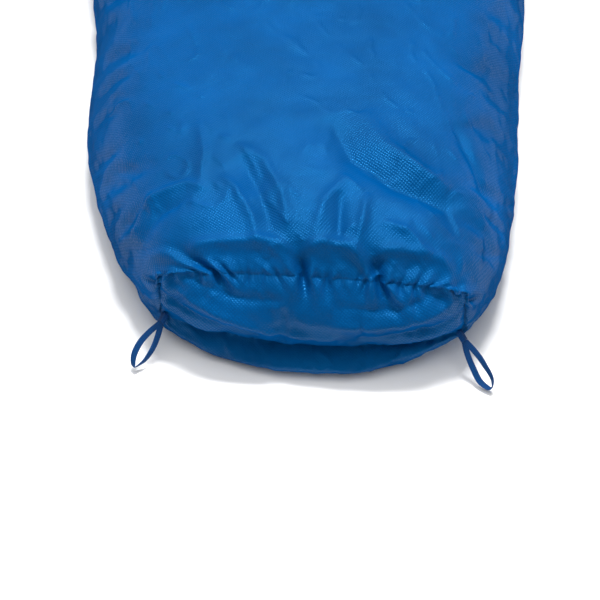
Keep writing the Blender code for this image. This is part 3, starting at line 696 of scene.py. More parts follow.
def foot_part(faces, across, up):
    """A part of the simulated foot end for soft_piece, with the fields that measure its cloth."""
    used, own = taken(faces)
    return foot_points[used], own, np.stack([fields[across][used], fields[up][used]], -1)


def grid_normals(grid):
    """Unit normals of a grid of points."""
    facing = np.cross(np.gradient(grid, axis=1), np.gradient(grid, axis=0))
    return facing / np.maximum(np.linalg.norm(facing, axis=2, keepdims=True), 1e-12)


def quilted(grid, side, puff=0.007, wrinkle=0.0030):
    """A grid swelled between the seams across it, and wrinkled; side is 1 where its outside is its normal."""
    y = grid[..., 1]
    near = np.min([np.abs(y - seam) for seam in QUILT_SEAMS], axis=0)
    swell = puff * ease(near, 0, 0.09) - QUILT_DEPTH * np.exp(-((near / 0.012) ** 2))
    slack = [[noise.noise(Vector(p) * 14) + 0.5 * noise.noise(Vector(p) * 37) for p in row] for row in grid]
    pulled = [[noise.noise(Vector((p[0] * 60, p[1] * 6, 3))) for p in row] for row in grid]
    swell += wrinkle * np.array(slack) + 1.3 * wrinkle * np.array(pulled) * np.exp(-((near / 0.045) ** 2))
    across = np.linspace(0, 1, grid.shape[1])
    swell *= ease(np.minimum(across, 1 - across), 0, 0.07)
    return grid + side * swell[..., None] * grid_normals(grid)


def end_faded(grid, other, rows):
    """The last rows of one grid brought back to another's."""
    share = np.zeros(len(grid))
    share[-rows:] = np.linspace(0, 1, rows)
    return grid + (other - grid) * share[:, None, None]


far_top = top_grid[foot_rows:].copy()
far_top[..., 1] += (chin_line(far_top[..., 0]) - CHIN_Y) * ease(far_top[..., 1], 0.25, CHIN_Y)
far_top = end_faded(quilted(far_top, 1), far_top, 3)
far_top_cut = np.stack([np.array(top_u[foot_rows - roll_rows :]), climb(far_top) + 0.62], -1)
top_parts = [foot_part(top_faces, "cut_top", "over_seam"), grid_part(far_top, far_top_cut)]
top_quilt = soft_piece("top_quilt", top_parts, shell_nylon)
top_nodes = [f"top_{part}_{layer}" for part in ("body", "fold", "flap") for layer in ("shell", "fill")]
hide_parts(*top_nodes)
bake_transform(top_quilt)

# ---------------------------------------------------------------- bottom quilt
# The half the sleeper lies on, of the same cloth, pressed flat against the floor. Its colours are a slightly
# darker copy of the shell's: painted shade for the band along the floor.
far_low = low_grid[foot_rows:]
under = far_low[..., 2]
far_low = quilted(far_low, -1, puff=0.002)
far_low[..., 2] = np.clip(far_low[..., 2], 0.0006, np.maximum(under, 0.0006) + 0.004)


def closed_end(grid):
    """A grid whose last row is drawn together at the side seams' height, with a rounded end."""
    turn = np.linspace(0, math.pi / 2, 5)[1:, None]
    last = grid[-1]
    rows = np.repeat(last[None], 4, axis=0)
    rows[..., 1] += 0.012 * np.sin(turn)
    rows[..., 2] = SIDE_SEAM_Z + (last[:, 2] - SIDE_SEAM_Z) * np.cos(turn)
    return np.concatenate([grid, rows])


far_low = closed_end(far_low)
far_low_u = np.array(low_u[foot_rows - roll_rows :])
far_low_u = np.concatenate([far_low_u, np.repeat(far_low_u[-1:], 4, axis=0)])
far_low_cut = np.stack([far_low_u, climb(far_low) + 0.62], -1)
low_parts = [foot_part(low_faces, "cut_low", "over_low_seam"), grid_part(far_low, far_low_cut, True)]
bottom_quilt = soft_piece("bottom_quilt", low_parts, shaded_under_nylon)
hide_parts("bottom_shell", "bottom_fill")
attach(bottom_quilt, "bag")

# ---------------------------------------------------------------- foot panel
# The boxed end: one padded panel sewn in between the quilts.
foot_panel = soft_piece("foot_panel", [foot_part(panel_faces, "cut_top", "over_low_seam")], shell_nylon)
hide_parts("foot_panel_shell", "foot_panel_fill")
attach(foot_panel, "bag")

# ---------------------------------------------------------------- linings
# Plain charcoal taffeta, smooth and soft, next to the sleeper. Each lining turns out to meet its outer cloth
# at the open edges, as the quilts are bagged out.
lining_taffeta, surface = blank("brushed_charcoal_taffeta")
where = add(lining_taffeta, "ShaderNodeTexCoord").outputs["UV"]
yarn_scale = 2 * math.pi / 20 / 0.0022
threads = []
for direction in ("X", "Y"):
    yarns = {"bands_direction": direction, "Scale": yarn_scale, "Distortion": 0.6, "Detail": 1.0}
    threads.append(add(lining_taffeta, "ShaderNodeTexWave", yarns, Vector=where).outputs["Fac"])
crossed = {"operation": "MAXIMUM"}
weave = add(lining_taffeta, "ShaderNodeMath", crossed, i0=threads[0], i1=threads[1]).outputs[0]
patchy = {"Scale": 12.0, "Detail": 3.0}
cloudy = add(lining_taffeta, "ShaderNodeTexNoise", patchy, Vector=where).outputs["Fac"]
tones = add(lining_taffeta, "ShaderNodeValToRGB", Fac=cloudy)
tones.color_ramp.elements[0].position = 0.35
tones.color_ramp.elements[0].color = srgb("#2b2f35")
tones.color_ramp.elements[1].position = 0.70
tones.color_ramp.elements[1].color = srgb("#3a3f47")
gloss = add(lining_taffeta, "ShaderNodeMapRange", {"To Min": 0.60, "To Max": 0.78}, Value=cloudy).outputs[0]
relief = add(lining_taffeta, "ShaderNodeBump", {"Strength": 0.3, "Distance": 0.0004}, Height=weave).outputs[0]
taffeta = add(
    lining_taffeta,
    "ShaderNodeBsdfPrincipled",
    {"IOR": 1.5, "Sheen Weight": 0.25, "Sheen Roughness": 0.5, "Sheen Tint": srgb("#9aa2ac")},
    Base_Color=tones.outputs[0],
    Roughness=gloss,
    Normal=relief,
)
lining_taffeta.node_tree.links.new(taffeta.outputs[0], surface)


def bagged_out(y_rows, over, chin=False):
    """An inner face with strips at its sides, and at the chin if asked, that turn out to the shell's edge."""
    across = np.linspace(0, 1, 45)
    inner = np.array([half_hoop(y, across, over, inner=True)[0] for y in y_rows])
    edge = np.array([half_hoop(y, np.array([0.0, 1.0]), over, zip_open(y, 0.007))[0] for y in y_rows])
    inset = 0.008 - 0.006 * ease(y_rows, -0.52, -0.47)
    edge[..., 0] *= 1 - (inset / along(taper, y_rows))[:, None]
    left = 0.5 * (inner[:, 0] + edge[:, 0])
    right = 0.5 * (inner[:, -1] + edge[:, 1])
    parted = (0.003 if over else -0.005) * ease(y_rows, -0.50, -0.44)
    right[:, 2] += parted
    inner[:, -3:, 2] += parted[:, None]
    grid = np.concatenate([edge[:, :1], left[:, None], inner, right[:, None], edge[:, 1:]], axis=1)
    if chin:
        outer = half_hoop(y_rows[-1], across, over, zip_open(y_rows[-1], 0.007))[0]
        outer = np.concatenate([edge[-1:, 0], left[-1:], outer, right[-1:], edge[-1:, 1]])
        middle = 0.5 * (grid[-1] + outer)
        middle[2:-2, 1] += 0.012
        grid = np.concatenate([grid, middle[None], outer[None]])
        grid[..., 1] += (chin_line(grid[..., 0]) - CHIN_Y) * ease(grid[..., 1], 0.25, CHIN_Y)
    return leaning(grid)


def lining_piece(name, grid, flip, nodes):
    """One quilt's lining, laid flat along and across for its weave, standing in for its CAD nodes."""
    cut = np.stack([np.repeat(run_along(grid[len(grid) // 2])[None], len(grid), 0), climb(grid)], -1)
    piece = soft_piece(f"{name}_cloth", [grid_part(grid, cut, flip)], lining_taffeta)
    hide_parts(*nodes)
    return piece


long_rows = np.concatenate([[-0.985], np.arange(-0.96, 0.585, 0.02), [CHIN_Y]])
top_lining = bagged_out(long_rows, True, chin=True)
top_lining = end_faded(quilted(top_lining, -1, puff=0.004, wrinkle=0.002), top_lining, 4)
nodes = ["top_body_lining", "top_fold_lining", "top_flap_lining"]
top_lining = lining_piece("top_lining", top_lining, True, nodes)
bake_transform(top_lining)
bed_rows = np.concatenate([[-0.985], np.arange(-0.96, 1.03, 0.02), [CROWN_Y]])
bed_lining = quilted(bagged_out(bed_rows, False), 1, puff=0.003, wrinkle=0.002)
bed_lining[..., 2] = np.maximum(bed_lining[..., 2], 0.012)
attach(lining_piece("bottom_lining", bed_lining, False, ["bottom_lining"]), "bag")
upper_edge = half_hoop(-0.985, np.linspace(0, 1, 25), True, inner=True)[0]
lower_edge = half_hoop(-0.985, np.linspace(0, 1, 25), False, inner=True)[0]
share = np.linspace(0, 1, 9)[:, None, None]
foot_lining = lower_edge * (1 - share) + upper_edge * share
foot_lining[..., 1] -= 0.018 * np.sin(math.pi * share[..., 0])
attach(lining_piece("foot_panel_lining", leaning(foot_lining), True, ["foot_panel_lining"]), "bag")

# ---------------------------------------------------------------- hood
# The scoop above the bottom quilt at the head end, quilted like the rest. Its rim is cut back to the zip
# side, and ends in the hem that holds the drawcord.


def rim_line(u):
    """The rim's place along the bag, by its share across the hood."""
    rise = 0.845 - (0.665 + 0.575) / 2
    return 0.665 * (1 - u) + 0.575 * u + rise * np.sin(math.pi * u) ** 0.8


hood_u = np.linspace(0, 1, 61)[None]
hood_v = np.linspace(0, 1, 25)[:, None]
hood_turn = np.repeat(-math.pi / 2 + math.pi * hood_u, 25, axis=0)
hood_y = rim_line(hood_u) * (1 - hood_v) + CROWN_Y * hood_v
hood_outside = hoop(hood_y, hood_turn, True)
ruched = np.sin(hood_u * 190) * 0.0022 * np.exp(-hood_v / 0.12)
puffed = quilted(hood_outside, 1) + ruched[..., None] * grid_normals(hood_outside)
puffed[-3:] = hood_outside[-3:]
hood_grid = closed_end(puffed)
hood_inside = hoop(hood_y, hood_turn, True, True)
hood_edge = 0.5 * (hood_outside[0] + hood_inside[0])
hood_edge[:, 1] -= 0.007
hood_lining = np.concatenate([hood_outside[:1], hood_edge[None], hood_inside])
hood_cut = np.stack([np.repeat(run_along(hood_grid[8])[None], len(hood_grid), 0), climb(hood_grid)], -1)
hood = soft_piece("hood", [grid_part(hood_grid, hood_cut)], shell_nylon)
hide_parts("hood_shell", "hood_fill")
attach(hood, "bag")
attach(lining_piece("hood_lining", hood_lining, True, ["hood_lining"]), "bag")

# ---------------------------------------------------------------- hood hem
# The shell's edge rolled round the drawcord and gathered on it, so it stands in short even ruches.


def tube(path, radii, sides=12, wide=1.0, up=(0, 0, 1)):
    """A round or oval tube along points, as a part for soft_piece with closed ends."""
    path = np.array(path, float)
    ahead = np.gradient(path, axis=0)
    ahead /= np.linalg.norm(ahead, axis=1, keepdims=True)
    side = np.cross(ahead, np.array(up, float))
    side /= np.linalg.norm(side, axis=1, keepdims=True)
    other = np.cross(side, ahead)
    turn = np.linspace(0, 2 * math.pi, sides + 1)
    radii = np.broadcast_to(radii, len(path))[:, None, None]
    ring = side[:, None] * (np.cos(turn) * wide)[None, :, None] + other[:, None] * np.sin(turn)[None, :, None]
    grid = path[:, None] + radii * ring
    grid = np.concatenate([path[:1, None].repeat(sides + 1, 1), grid, path[-1:, None].repeat(sides + 1, 1)])
    cut = np.stack(np.broadcast_arrays(turn[None] * float(radii.max()), climb(grid)[:, :1]), -1)
    return grid_part(grid, cut, True)


def resampled(path, spacing):
    """Points spaced evenly along a smooth line through the given ones."""
    path = np.array(path, float)
    run = np.concatenate([[0], np.cumsum(np.linalg.norm(np.diff(path, axis=0), axis=1))])
    slopes = np.gradient(path, run, axis=0)
    at = np.linspace(0, run[-1], max(int(run[-1] / spacing), 2) + 1)
    k = np.clip(np.searchsorted(run, at, side="right") - 1, 0, len(run) - 2)
    span = (run[k + 1] - run[k])[:, None]
    t = ((at - run[k])[:, None]) / span
    ease_in = t * t * (3 - 2 * t)
    bend = slopes[k] * span * t * (1 - t) ** 2 + slopes[k + 1] * span * t * t * (t - 1)
    return path[k] * (1 - ease_in) + path[k + 1] * ease_in + bend


HEM_RADIUS = 0.007
rim_u = np.arange(1, 13) / 14
rim_turn = -math.pi / 2 + math.pi * rim_u
rim_outside = hoop(rim_line(rim_u), rim_turn, True)
rim_inside = hoop(rim_line(rim_u), rim_turn, True, True)
rim_edge = 0.68 * rim_outside + 0.32 * rim_inside
rim_ahead = np.array([rim_edge[min(k + 1, 11)] - rim_edge[max(k - 1, 0)] for k in range(12)])
rim_away = np.cross(rim_inside - rim_outside, rim_ahead)
rim_away /= np.linalg.norm(rim_away, axis=1, keepdims=True)
hem_path = rim_edge + rim_away * (HEM_RADIUS + 0.003)
hem_line = resampled(hem_path, 0.0015)
ruches = 1 + 0.13 * np.sin(np.arange(len(hem_line)) * 0.0015 * 2 * math.pi / 0.0085)
hem = soft_piece("ruched_hood_hem", [tube(hem_line, HEM_RADIUS * ruches, 14)], shell_nylon, finer=0)
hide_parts("hood_hem")
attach(hem, "bag")

# ---------------------------------------------------------------- drawcord
# Braided elastic cord, 3.4 mm thick, fixed inside the hem's far end. It comes out on the zip side, through
# the lock, and ends in a knot.
braid, surface = blank("braided_polyester_cord")
where = add(braid, "ShaderNodeTexCoord").outputs["UV"]
plaits = []
for slant in (35, -35):
    diagonal = {"Rotation": (0, 0, math.radians(slant))}
    turned = add(braid, "ShaderNodeMapping", diagonal, Vector=where).outputs[0]
    wave = {"bands_direction": "Y", "Scale": 2 * math.pi / 20 / 0.0016}
    plaits.append(add(braid, "ShaderNodeTexWave", wave, Vector=turned).outputs["Fac"])
plait = add(braid, "ShaderNodeMath", {"operation": "MAXIMUM"}, i0=plaits[0], i1=plaits[1]).outputs[0]
tones = add(braid, "ShaderNodeValToRGB", Fac=plait)
tones.color_ramp.elements[0].color = srgb("#08192b")
tones.color_ramp.elements[1].color = srgb("#1b3f63")
relief = add(braid, "ShaderNodeBump", {"Strength": 0.7, "Distance": 0.0005}, Height=plait).outputs[0]
dry = {"Roughness": 0.62, "IOR": 1.5}
yarn = add(braid, "ShaderNodeBsdfPrincipled", dry, Base_Color=tones.outputs[0], Normal=relief)
braid.node_tree.links.new(yarn.outputs[0], surface)
CORD_RADIUS = 0.0017
ahead = rim_ahead[-1] / np.linalg.norm(rim_ahead[-1])
out = ahead + rim_away[-1] * 1.5
out /= np.linalg.norm(out)
leave = hem_path[-1] + ahead * 0.001
turn = leave + (ahead + out) * 0.0025
tail_end = turn + out * 0.038
stub = [turn + out * reach for reach in (0.003, 0.007, 0.018)]
cord_line = resampled([*hem_path[:-1], leave, turn, *stub, tail_end], 0.0015)
knot_turn = np.linspace(0, 2 * math.pi * 2.2, 60)
knot_rise = np.cross(out, (0, 0, 1))
knot_rise /= np.linalg.norm(knot_rise)
knot_side = np.cross(out, knot_rise)
knot_line = (
    tail_end
    + out * (np.linspace(-0.004, 0.002, 60))[:, None]
    + 0.0021 * (np.cos(knot_turn)[:, None] * knot_rise + np.sin(knot_turn)[:, None] * knot_side)
)
cord_parts = [tube(cord_line, CORD_RADIUS, 10), tube(knot_line, 0.0014, 8, up=out)]
drawcord = soft_piece("braided_drawcord", cord_parts, braid, finer=0)
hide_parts("hood_drawcord")
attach(drawcord, "bag")

# ---------------------------------------------------------------- cord lock
# A sprung lock on the drawcord: moulded barrel, base and push button in dark plastic with a faint grain, and
# a bright steel spring inside.
dark_plastic, surface = blank("moulded_acetal")
where = add(dark_plastic, "ShaderNodeTexCoord").outputs["Object"]
grain = add(dark_plastic, "ShaderNodeTexNoise", {"Scale": 900.0, "Detail": 2.0}, Vector=where).outputs["Fac"]
tones = add(dark_plastic, "ShaderNodeValToRGB", Fac=grain)
tones.color_ramp.elements[0].color = srgb("#101418")
tones.color_ramp.elements[1].color = srgb("#20262c")
gloss = add(dark_plastic, "ShaderNodeMapRange", {"To Min": 0.34, "To Max": 0.52}, Value=grain).outputs[0]
relief = add(dark_plastic, "ShaderNodeBump", {"Strength": 0.2, "Distance": 0.0002}, Height=grain).outputs[0]
moulded = add(
    dark_plastic,
    "ShaderNodeBsdfPrincipled",
    {"IOR": 1.48},
    Base_Color=tones.outputs[0],
    Roughness=gloss,
    Normal=relief,
)
dark_plastic.node_tree.links.new(moulded.outputs[0], surface)


def metal(name, colour, rough):
    """Cast or drawn metal with fine scratches that break its gloss."""
    material, surface = blank(name)
    where = add(material, "ShaderNodeTexCoord").outputs["Object"]
    stretched = add(material, "ShaderNodeMapping", {"Scale": (1, 0.15, 1)}, Vector=where).outputs[0]
    lines = {"Scale": 700.0, "Detail": 4.0}
    scratches = add(material, "ShaderNodeTexNoise", lines, Vector=stretched).outputs["Fac"]
    worn = {"To Min": rough, "To Max": rough + 0.22}
    gloss = add(material, "ShaderNodeMapRange", worn, Value=scratches).outputs[0]
    tones = add(material, "ShaderNodeValToRGB", Fac=scratches)
    tones.color_ramp.elements[0].color = tuple(0.7 * c for c in srgb(colour)[:3]) + (1,)
    tones.color_ramp.elements[1].color = srgb(colour)
    shallow = {"Strength": 0.12, "Distance": 0.0001}
    relief = add(material, "ShaderNodeBump", shallow, Height=scratches).outputs[0]
    alloy = add(
        material,
        "ShaderNodeBsdfPrincipled",
        {"Metallic": 1.0},
        Base_Color=tones.outputs[0],
        Roughness=gloss,
        Normal=relief,
    )
    material.node_tree.links.new(alloy.outputs[0], surface)
    return material


def refinished(node, material):
    """A CAD node keeps its shape and takes a finished material."""
    mesh = frame["nodes"][node].data
    mesh.materials.clear()
    mesh.materials.append(material)


for node in ("cord_lock_barrel", "cord_lock_base", "cord_lock_button"):
    refinished(node, dark_plastic)
SPRING_TURNS, SPRING_LENGTH, SPRING_RADIUS, WIRE_RADIUS = 4.5, 0.0052, 0.0030, 0.00038
press = next(j for j in frame["record"]["behaviour"]["joints"] if j["name"] == "cord_lock_button_press")
spring_up = -np.array(press["axis"])
spring_side = np.cross(spring_up, (1.0, 0.0, 0.0))
spring_side /= np.linalg.norm(spring_side)
spring_other = np.cross(spring_up, spring_side)
spring_foot = 0.5 * (np.array(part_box("cord_lock_spring")[0]) + np.array(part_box("cord_lock_spring")[1]))
spring_foot = spring_foot - spring_up * SPRING_LENGTH / 2
wind = np.linspace(0, 2 * math.pi * SPRING_TURNS, 110)
wire = spring_foot + spring_up * (SPRING_LENGTH * wind / wind[-1])[:, None]
wire += SPRING_RADIUS * (np.cos(wind)[:, None] * spring_side + np.sin(wind)[:, None] * spring_other)
drawn_steel = metal("drawn_spring_steel", "#c9ccd1", 0.22)
spring = soft_piece("wound_spring", [tube(wire, WIRE_RADIUS, 8, up=spring_up)], drawn_steel, finer=0)
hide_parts("cord_lock_spring")
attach(spring, "cord_lock")
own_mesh(spring)

# ---------------------------------------------------------------- zip
# A coil zip up the +X side: two woven tapes in the shell's blue, a nylon coil sewn to each, and a slider with
# a pull inside and out, in gunmetal.
ZIP_FOOT_Y, ZIP_TOP_Y = -0.460, 0.462
zip_outward = np.array([1.0, -0.1, 0.0]) / math.hypot(1, 0.1)


def zip_point(y, out=0.0, rise=0.0):
    """A point on the zip's line: out is away from the bag, rise is above the side seam."""
    y = np.asarray(y, float)
    line = np.stack([along(taper, y) - 0.0048, y, np.full_like(y, SIDE_SEAM_Z + rise)], -1)
    return line + zip_outward * out


tape_weave, surface = blank("woven_zip_tape")
where = add(tape_weave, "ShaderNodeTexCoord").outputs["UV"]
twill = add(tape_weave, "ShaderNodeMapping", {"Rotation": (0, 0, math.radians(30))}, Vector=where).outputs[0]
herringbone = {"bands_direction": "Y", "Scale": 2 * math.pi / 20 / 0.0012, "Distortion": 0.4}
ribs = add(tape_weave, "ShaderNodeTexWave", herringbone, Vector=twill).outputs["Fac"]
tones = add(tape_weave, "ShaderNodeValToRGB", Fac=ribs)
tones.color_ramp.elements[0].color = srgb("#04284a")
tones.color_ramp.elements[1].color = srgb("#0a3f70")
relief = add(tape_weave, "ShaderNodeBump", {"Strength": 0.6, "Distance": 0.0003}, Height=ribs).outputs[0]
matt = {"Roughness": 0.66, "IOR": 1.5}
ribbed = add(tape_weave, "ShaderNodeBsdfPrincipled", matt, Base_Color=tones.outputs[0], Normal=relief)
tape_weave.node_tree.links.new(ribbed.outputs[0], surface)


def ribbon(path, width_at, width, thick, columns=4):
    """A flat tape along points, with rounded edges, as a part for soft_piece."""
    path = np.array(path, float)
    ahead = np.gradient(path, axis=0)
    ahead /= np.linalg.norm(ahead, axis=1, keepdims=True)
    wide = np.array(width_at, float)
    wide = wide - ahead * np.sum(wide * ahead, axis=1, keepdims=True)
    wide /= np.linalg.norm(wide, axis=1, keepdims=True)
    flat = np.cross(ahead, wide)
    x = np.linspace(-0.5, 0.5, columns + 1)
    around = [(a, 0.5) for a in x] + [(a, -0.5) for a in x[::-1]] + [(x[0], 0.5)]
    grid = np.stack([path + wide * (a * width) + flat * (b * thick) for a, b in around], 1)
    ends = [path[at, None].repeat(len(around), 1) for at in (slice(0, 1), slice(-1, None))]
    grid = np.concatenate([ends[0], grid, ends[1]])
    cut_u = np.array([a * width for a, _ in around])
    cut = np.stack(np.broadcast_arrays(cut_u[None], climb(grid)[:, 1:2]), -1)
    return grid_part(grid, cut)


coil_nylon, surface = blank("moulded_nylon_coil")
where = add(coil_nylon, "ShaderNodeTexCoord").outputs["Object"]
mottle = add(coil_nylon, "ShaderNodeTexNoise", {"Scale": 400.0}, Vector=where).outputs["Fac"]
tones = add(coil_nylon, "ShaderNodeValToRGB", Fac=mottle)
tones.color_ramp.elements[0].color = srgb("#07315a")
tones.color_ramp.elements[1].color = srgb("#0d467c")
gloss = add(coil_nylon, "ShaderNodeMapRange", {"To Min": 0.28, "To Max": 0.42}, Value=mottle).outputs[0]
extruded = add(
    coil_nylon, "ShaderNodeBsdfPrincipled", {"IOR": 1.53}, Base_Color=tones.outputs[0], Roughness=gloss
)
coil_nylon.node_tree.links.new(extruded.outputs[0], surface)
COIL_PITCH = 0.0016
for side, name in ((1, "upper"), (-1, "lower")):
    tape_y = np.linspace(ZIP_FOOT_Y - 0.006, ZIP_TOP_Y + 0.030, 200)
    tape_line = zip_point(tape_y, 0.0, side * 0.00615)
    upright = np.repeat([[0.0, 0.0, 1.0]], len(tape_y), 0)
    tape = soft_piece(f"woven_tape_{name}", [ribbon(tape_line, upright, 0.0067, 0.0008)], tape_weave, finer=0)
    coil_turn = np.arange(0, (ZIP_TOP_Y - ZIP_FOOT_Y) / COIL_PITCH * 6) * math.pi / 3
    coil_y = ZIP_FOOT_Y + coil_turn / (2 * math.pi) * COIL_PITCH
    coil_line = zip_point(coil_y, 0.0, side * 0.00135)
    coil_line += zip_outward * 0.00085 * np.cos(coil_turn)[:, None]
    coil_line[:, 2] += 0.00080 * np.sin(coil_turn)
    coil = soft_piece(f"coil_turns_{name}", [tube(coil_line, 0.00042, 5, up=(0, 1, 0))], coil_nylon, finer=0)
    for piece, look in ((tape, "zip_tape"), (coil, "zip_coil")):
        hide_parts(f"{look}_{name}")
        if name == "upper":
            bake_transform(piece)
        else:
            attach(piece, "bag")
gunmetal = metal("cast_gunmetal", "#5b6066", 0.30)
for part in ("slider", "pull_outer", "pull_inner", "bottom_stop", "top_stop_upper", "top_stop_lower"):
    refinished(f"zip_{part}", gunmetal)

# ---------------------------------------------------------------- draft tube
# A slim tube of lining cloth with its own fill, sewn along the flap behind the zip.
tube_y = np.linspace(-0.210, 0.480, 150)
tube_z = np.full_like(tube_y, SIDE_SEAM_Z + 0.0095)
tube_line = np.stack([along(taper, tube_y) * 0.88 - 0.030, tube_y, tube_z], -1)
lumps = 1 + 0.05 * np.sin(tube_y * 75) + 0.04 * np.sin(tube_y * 190 + 1)
taper_off = np.clip(np.minimum(tube_y + 0.210, 0.480 - tube_y) / 0.02, 0.25, 1) ** 0.5
stuffed = tube(tube_line, 0.0082 * lumps * taper_off, 16, wide=1.7)
draft_tube = soft_piece("padded_draft_tube", [stuffed], lining_taffeta)
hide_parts("draft_tube")
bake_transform(draft_tube)

# ---------------------------------------------------------------- zip guard
# A short tab of hook tape on the flap that closes over the top of the zip, and the patch it presses onto.
hook_tape, surface = blank("hook_tape")
where = add(hook_tape, "ShaderNodeTexCoord").outputs["UV"]
rows_of_hooks = {"voronoi_dimensions": "2D", "Scale": 1 / 0.0009, "Randomness": 0.5}
hooks = add(hook_tape, "ShaderNodeTexVoronoi", rows_of_hooks, Vector=where).outputs["Distance"]
tones = add(hook_tape, "ShaderNodeValToRGB", Fac=hooks)
tones.color_ramp.elements[0].color = srgb("#173a5f")
tones.color_ramp.elements[1].color = srgb("#06182a")
relief = add(hook_tape, "ShaderNodeBump", {"Strength": 0.8, "Distance": 0.0006}, Height=hooks).outputs[0]
rough = {"Roughness": 0.75}
nap = add(hook_tape, "ShaderNodeBsdfPrincipled", rough, Base_Color=tones.outputs[0], Normal=relief)
hook_tape.node_tree.links.new(nap.outputs[0], surface)
for name, body, out, low, high, thick in (
    ("zip_guard_tab", "guard", 0.0072, -0.014, 0.019, 0.0012),
    ("zip_guard_patch", "bag", 0.0059, -0.0135, -0.0035, 0.0008),
):
    heights = np.linspace(low, high, 14)
    strip = np.array([zip_point(0.492, out, height) for height in heights])
    lengthwise = np.repeat([[0.1, 0.995, 0.0]], len(strip), 0)
    tab = soft_piece(f"{name}_tape", [ribbon(strip, lengthwise, 0.020, thick, 6)], hook_tape, finer=1)
    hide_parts(name)
    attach(tab, body)

# ---------------------------------------------------------------- hang loops
# Dark blue woven tape, 8 mm wide, doubled into a loop and sewn into each lower corner of the foot panel. The
# tape twists as it leaves the seam, so its flat side shows.
webbing, surface = blank("woven_polyester_tape")
where = add(webbing, "ShaderNodeTexCoord").outputs["UV"]
ribs = {"bands_direction": "Y", "Scale": 2 * math.pi / 20 / 0.0014, "Distortion": 0.8, "Detail": 1.0}
picks = add(webbing, "ShaderNodeTexWave", ribs, Vector=where).outputs["Fac"]
ends = {"bands_direction": "X", "Scale": 2 * math.pi / 20 / 0.0016}
warp = add(webbing, "ShaderNodeTexWave", ends, Vector=where).outputs["Fac"]
weave = add(webbing, "ShaderNodeMath", {"operation": "MULTIPLY"}, i0=picks, i1=warp).outputs[0]
tones = add(webbing, "ShaderNodeValToRGB", Fac=weave)
tones.color_ramp.elements[0].color = srgb("#012c58")
tones.color_ramp.elements[1].color = srgb("#07559c")
relief = add(webbing, "ShaderNodeBump", {"Strength": 0.7, "Distance": 0.0004}, Height=weave).outputs[0]
dull = {"Roughness": 0.7, "IOR": 1.5, "Specular IOR Level": 0.15}
woven = add(webbing, "ShaderNodeBsdfPrincipled", dull, Base_Color=tones.outputs[0], Normal=relief)
webbing.node_tree.links.new(woven.outputs[0], surface)
for side, name, reach, shape in (
    (1, "hang_loop_left", (0.028, -0.038, -0.040), ((0.22, 0.0050), (0.55, 0.0085), (0.90, 0.0070))),
    (-1, "hang_loop_right", (-0.034, -0.040, -0.038), ((0.30, 0.0070), (0.58, 0.0100), (0.88, 0.0065))),
):
    root = np.array([side * 0.178, -1.030, 0.046])
    reach = np.array(reach)
    length = np.linalg.norm(reach)
    down = reach / length
    spread = np.array([side * 0.83, -0.05, 0.55])
    spread -= down * (spread @ down)
    spread /= np.linalg.norm(spread)
    wide = np.cross(down, spread)
    corners = [(0.0, 0.0004), *shape, (1.0, 0.0010)]
    corners += [(share - 0.03, -0.8 * bow) for share, bow in shape[::-1]] + [(0.0, -0.0004)]
    line = np.array([root + down * (share * length) + spread * bow for share, bow in corners])
    line = resampled(line, 0.0025)
    t = np.linspace(0, math.pi, len(line))
    twist = math.pi / 2 * np.sign(np.cos(t)) * np.abs(np.cos(t)) ** 0.5
    turned = wide * np.cos(twist)[:, None] + spread * np.sin(twist)[:, None]
    loop = soft_piece(f"{name}_tape", [ribbon(leaning(line), turned, 0.0075, 0.0011)], webbing, finer=1)
    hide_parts(name)
    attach(loop, name.replace("hang_loop", "loop"))
    inward = np.array([-side * 0.45, 0.80, 0.35])
    inward /= np.linalg.norm(inward)
    back = np.linspace(0.013, 0.0002, 10)[:, None]
    rows = [root + inward * back + wide * x for x in (-0.003, 0.0, 0.003)]
    tacks = [ribbon(leaning(row), np.repeat([spread], 10, 0), 0.0060, 0.0022) for row in rows]
    bartack = soft_piece(f"{name}_stitches", tacks, webbing, finer=0)
    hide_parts(f"{name}_bartack")
    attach(bartack, "bag")

# ---------------------------------------------------------------- quilting stitches
# Each seam across the top quilt is a row of lockstitches in twisted polyester thread, through the shell, fill
# and lining. The stitches are 5 mm apart here, twice the real pitch, so that they show.
thread, surface = blank("twisted_polyester_thread")
where = add(thread, "ShaderNodeTexCoord").outputs["UV"]
slanted = add(thread, "ShaderNodeMapping", {"Rotation": (0, 0, math.radians(40))}, Vector=where).outputs[0]
twist_band = {"bands_direction": "Y", "Scale": 2 * math.pi / 20 / 0.0006}
plies = add(thread, "ShaderNodeTexWave", twist_band, Vector=slanted).outputs["Fac"]
tones = add(thread, "ShaderNodeValToRGB", Fac=plies)
tones.color_ramp.elements[0].color = srgb("#01254a")
tones.color_ramp.elements[1].color = srgb("#0a4a86")
relief = add(thread, "ShaderNodeBump", {"Strength": 0.5, "Distance": 0.0002}, Height=plies).outputs[0]
dry = {"Roughness": 0.6, "IOR": 1.5}
spun = add(thread, "ShaderNodeBsdfPrincipled", dry, Base_Color=tones.outputs[0], Normal=relief)
thread.node_tree.links.new(spun.outputs[0], surface)
STITCH_PITCH, STITCH_LENGTH, THREAD_WIDTH = 0.005, 0.0036, 0.0010
STITCH_ARCH = ((-0.5, -0.0004), (-0.25, 0.0003), (0.25, 0.0003), (0.5, -0.0004))
cloth_surface = BVHTree.FromObject(top_quilt, bpy.context.evaluated_depsgraph_get())
stitches = []
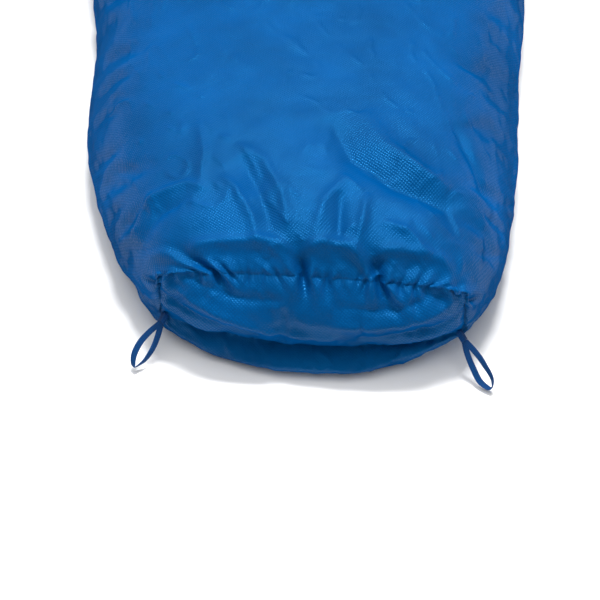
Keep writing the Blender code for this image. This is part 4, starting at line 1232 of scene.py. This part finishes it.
for seam in QUILT_SEAMS:
    lengthwise = far_top[:, 3:-3].swapaxes(0, 1)
    line = [[np.interp(seam, column[:, 1], column[:, axis]) for axis in range(3)] for column in lengthwise]
    line = resampled(line, STITCH_PITCH)
    ahead = np.gradient(line, axis=0)
    ahead /= np.linalg.norm(ahead, axis=1, keepdims=True)
    outward = np.cross(ahead, (0.0, 1.0, 0.0))
    for place, forward, out in zip(line, ahead, outward):
        found = cloth_surface.ray_cast(Vector(place + out * 0.03), Vector(-out), 0.06)[0]
        if found is None:
            continue
        stitch = [np.array(found) + forward * STITCH_LENGTH * x + out * lift for x, lift in STITCH_ARCH]
        along_bag = np.repeat([[0.0, 1.0, 0.0]], len(stitch), 0)
        stitches.append(ribbon(stitch, along_bag, THREAD_WIDTH, 0.0006, 1))
quilting = soft_piece("quilting_stitches", stitches, thread, finer=0)
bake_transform(quilting)

# ---------------------------------------------------------------- studio
# A white floor, a narrow soft light from behind that picks out the ridges, a broad one overhead and a weak
# one from the side.
paper, surface = blank("matt_white_paper")
white = add(paper, "ShaderNodeBsdfPrincipled", {"Base Color": srgb("#f4f4f4"), "Roughness": 0.9})
paper.node_tree.links.new(white.outputs[0], surface)
floor_mesh = bpy.data.meshes.new("floor")
floor_mesh.from_pydata([(-12, -12, 0), (12, -12, 0), (12, 12, 0), (-12, 12, 0)], [], [(0, 1, 2, 3)])
floor_mesh.materials.append(paper)
floor = bpy.data.objects.new("floor", floor_mesh)
bpy.context.scene.collection.objects.link(floor)


def soft_light(name, place, aim, size, power):
    """A rectangular area light of size metres at place, turned to shine on aim, of power watts."""
    light = bpy.data.lights.new(name, "AREA")
    light.shape = "RECTANGLE"
    light.size, light.size_y = size
    light.energy = power
    lamp = bpy.data.objects.new(name, light)
    lamp.location = place
    lamp.rotation_euler = (Vector(aim) - Vector(place)).to_track_quat("-Z", "Y").to_euler()
    bpy.context.scene.collection.objects.link(lamp)


soft_light("back_softbox", (0.10, -0.35, 2.3), (0.0, -0.9, 0.1), (0.8, 0.28), 70)
soft_light("overhead_softbox", (-0.4, -1.3, 3.0), (0.0, -1.1, 0.0), (3.4, 3.0), 60)
soft_light("side_softbox", (3.2, -1.4, 1.5), (0.0, -1.0, 0.1), (1.6, 1.6), 12)
world = bpy.data.worlds.new("studio_air")
world.use_nodes = True
world.node_tree.nodes["Background"].inputs["Color"].default_value = (1, 1, 1, 1)
world.node_tree.nodes["Background"].inputs["Strength"].default_value = 0.36
bpy.context.scene.world = world
bpy.context.scene.view_settings.view_transform = "Standard"
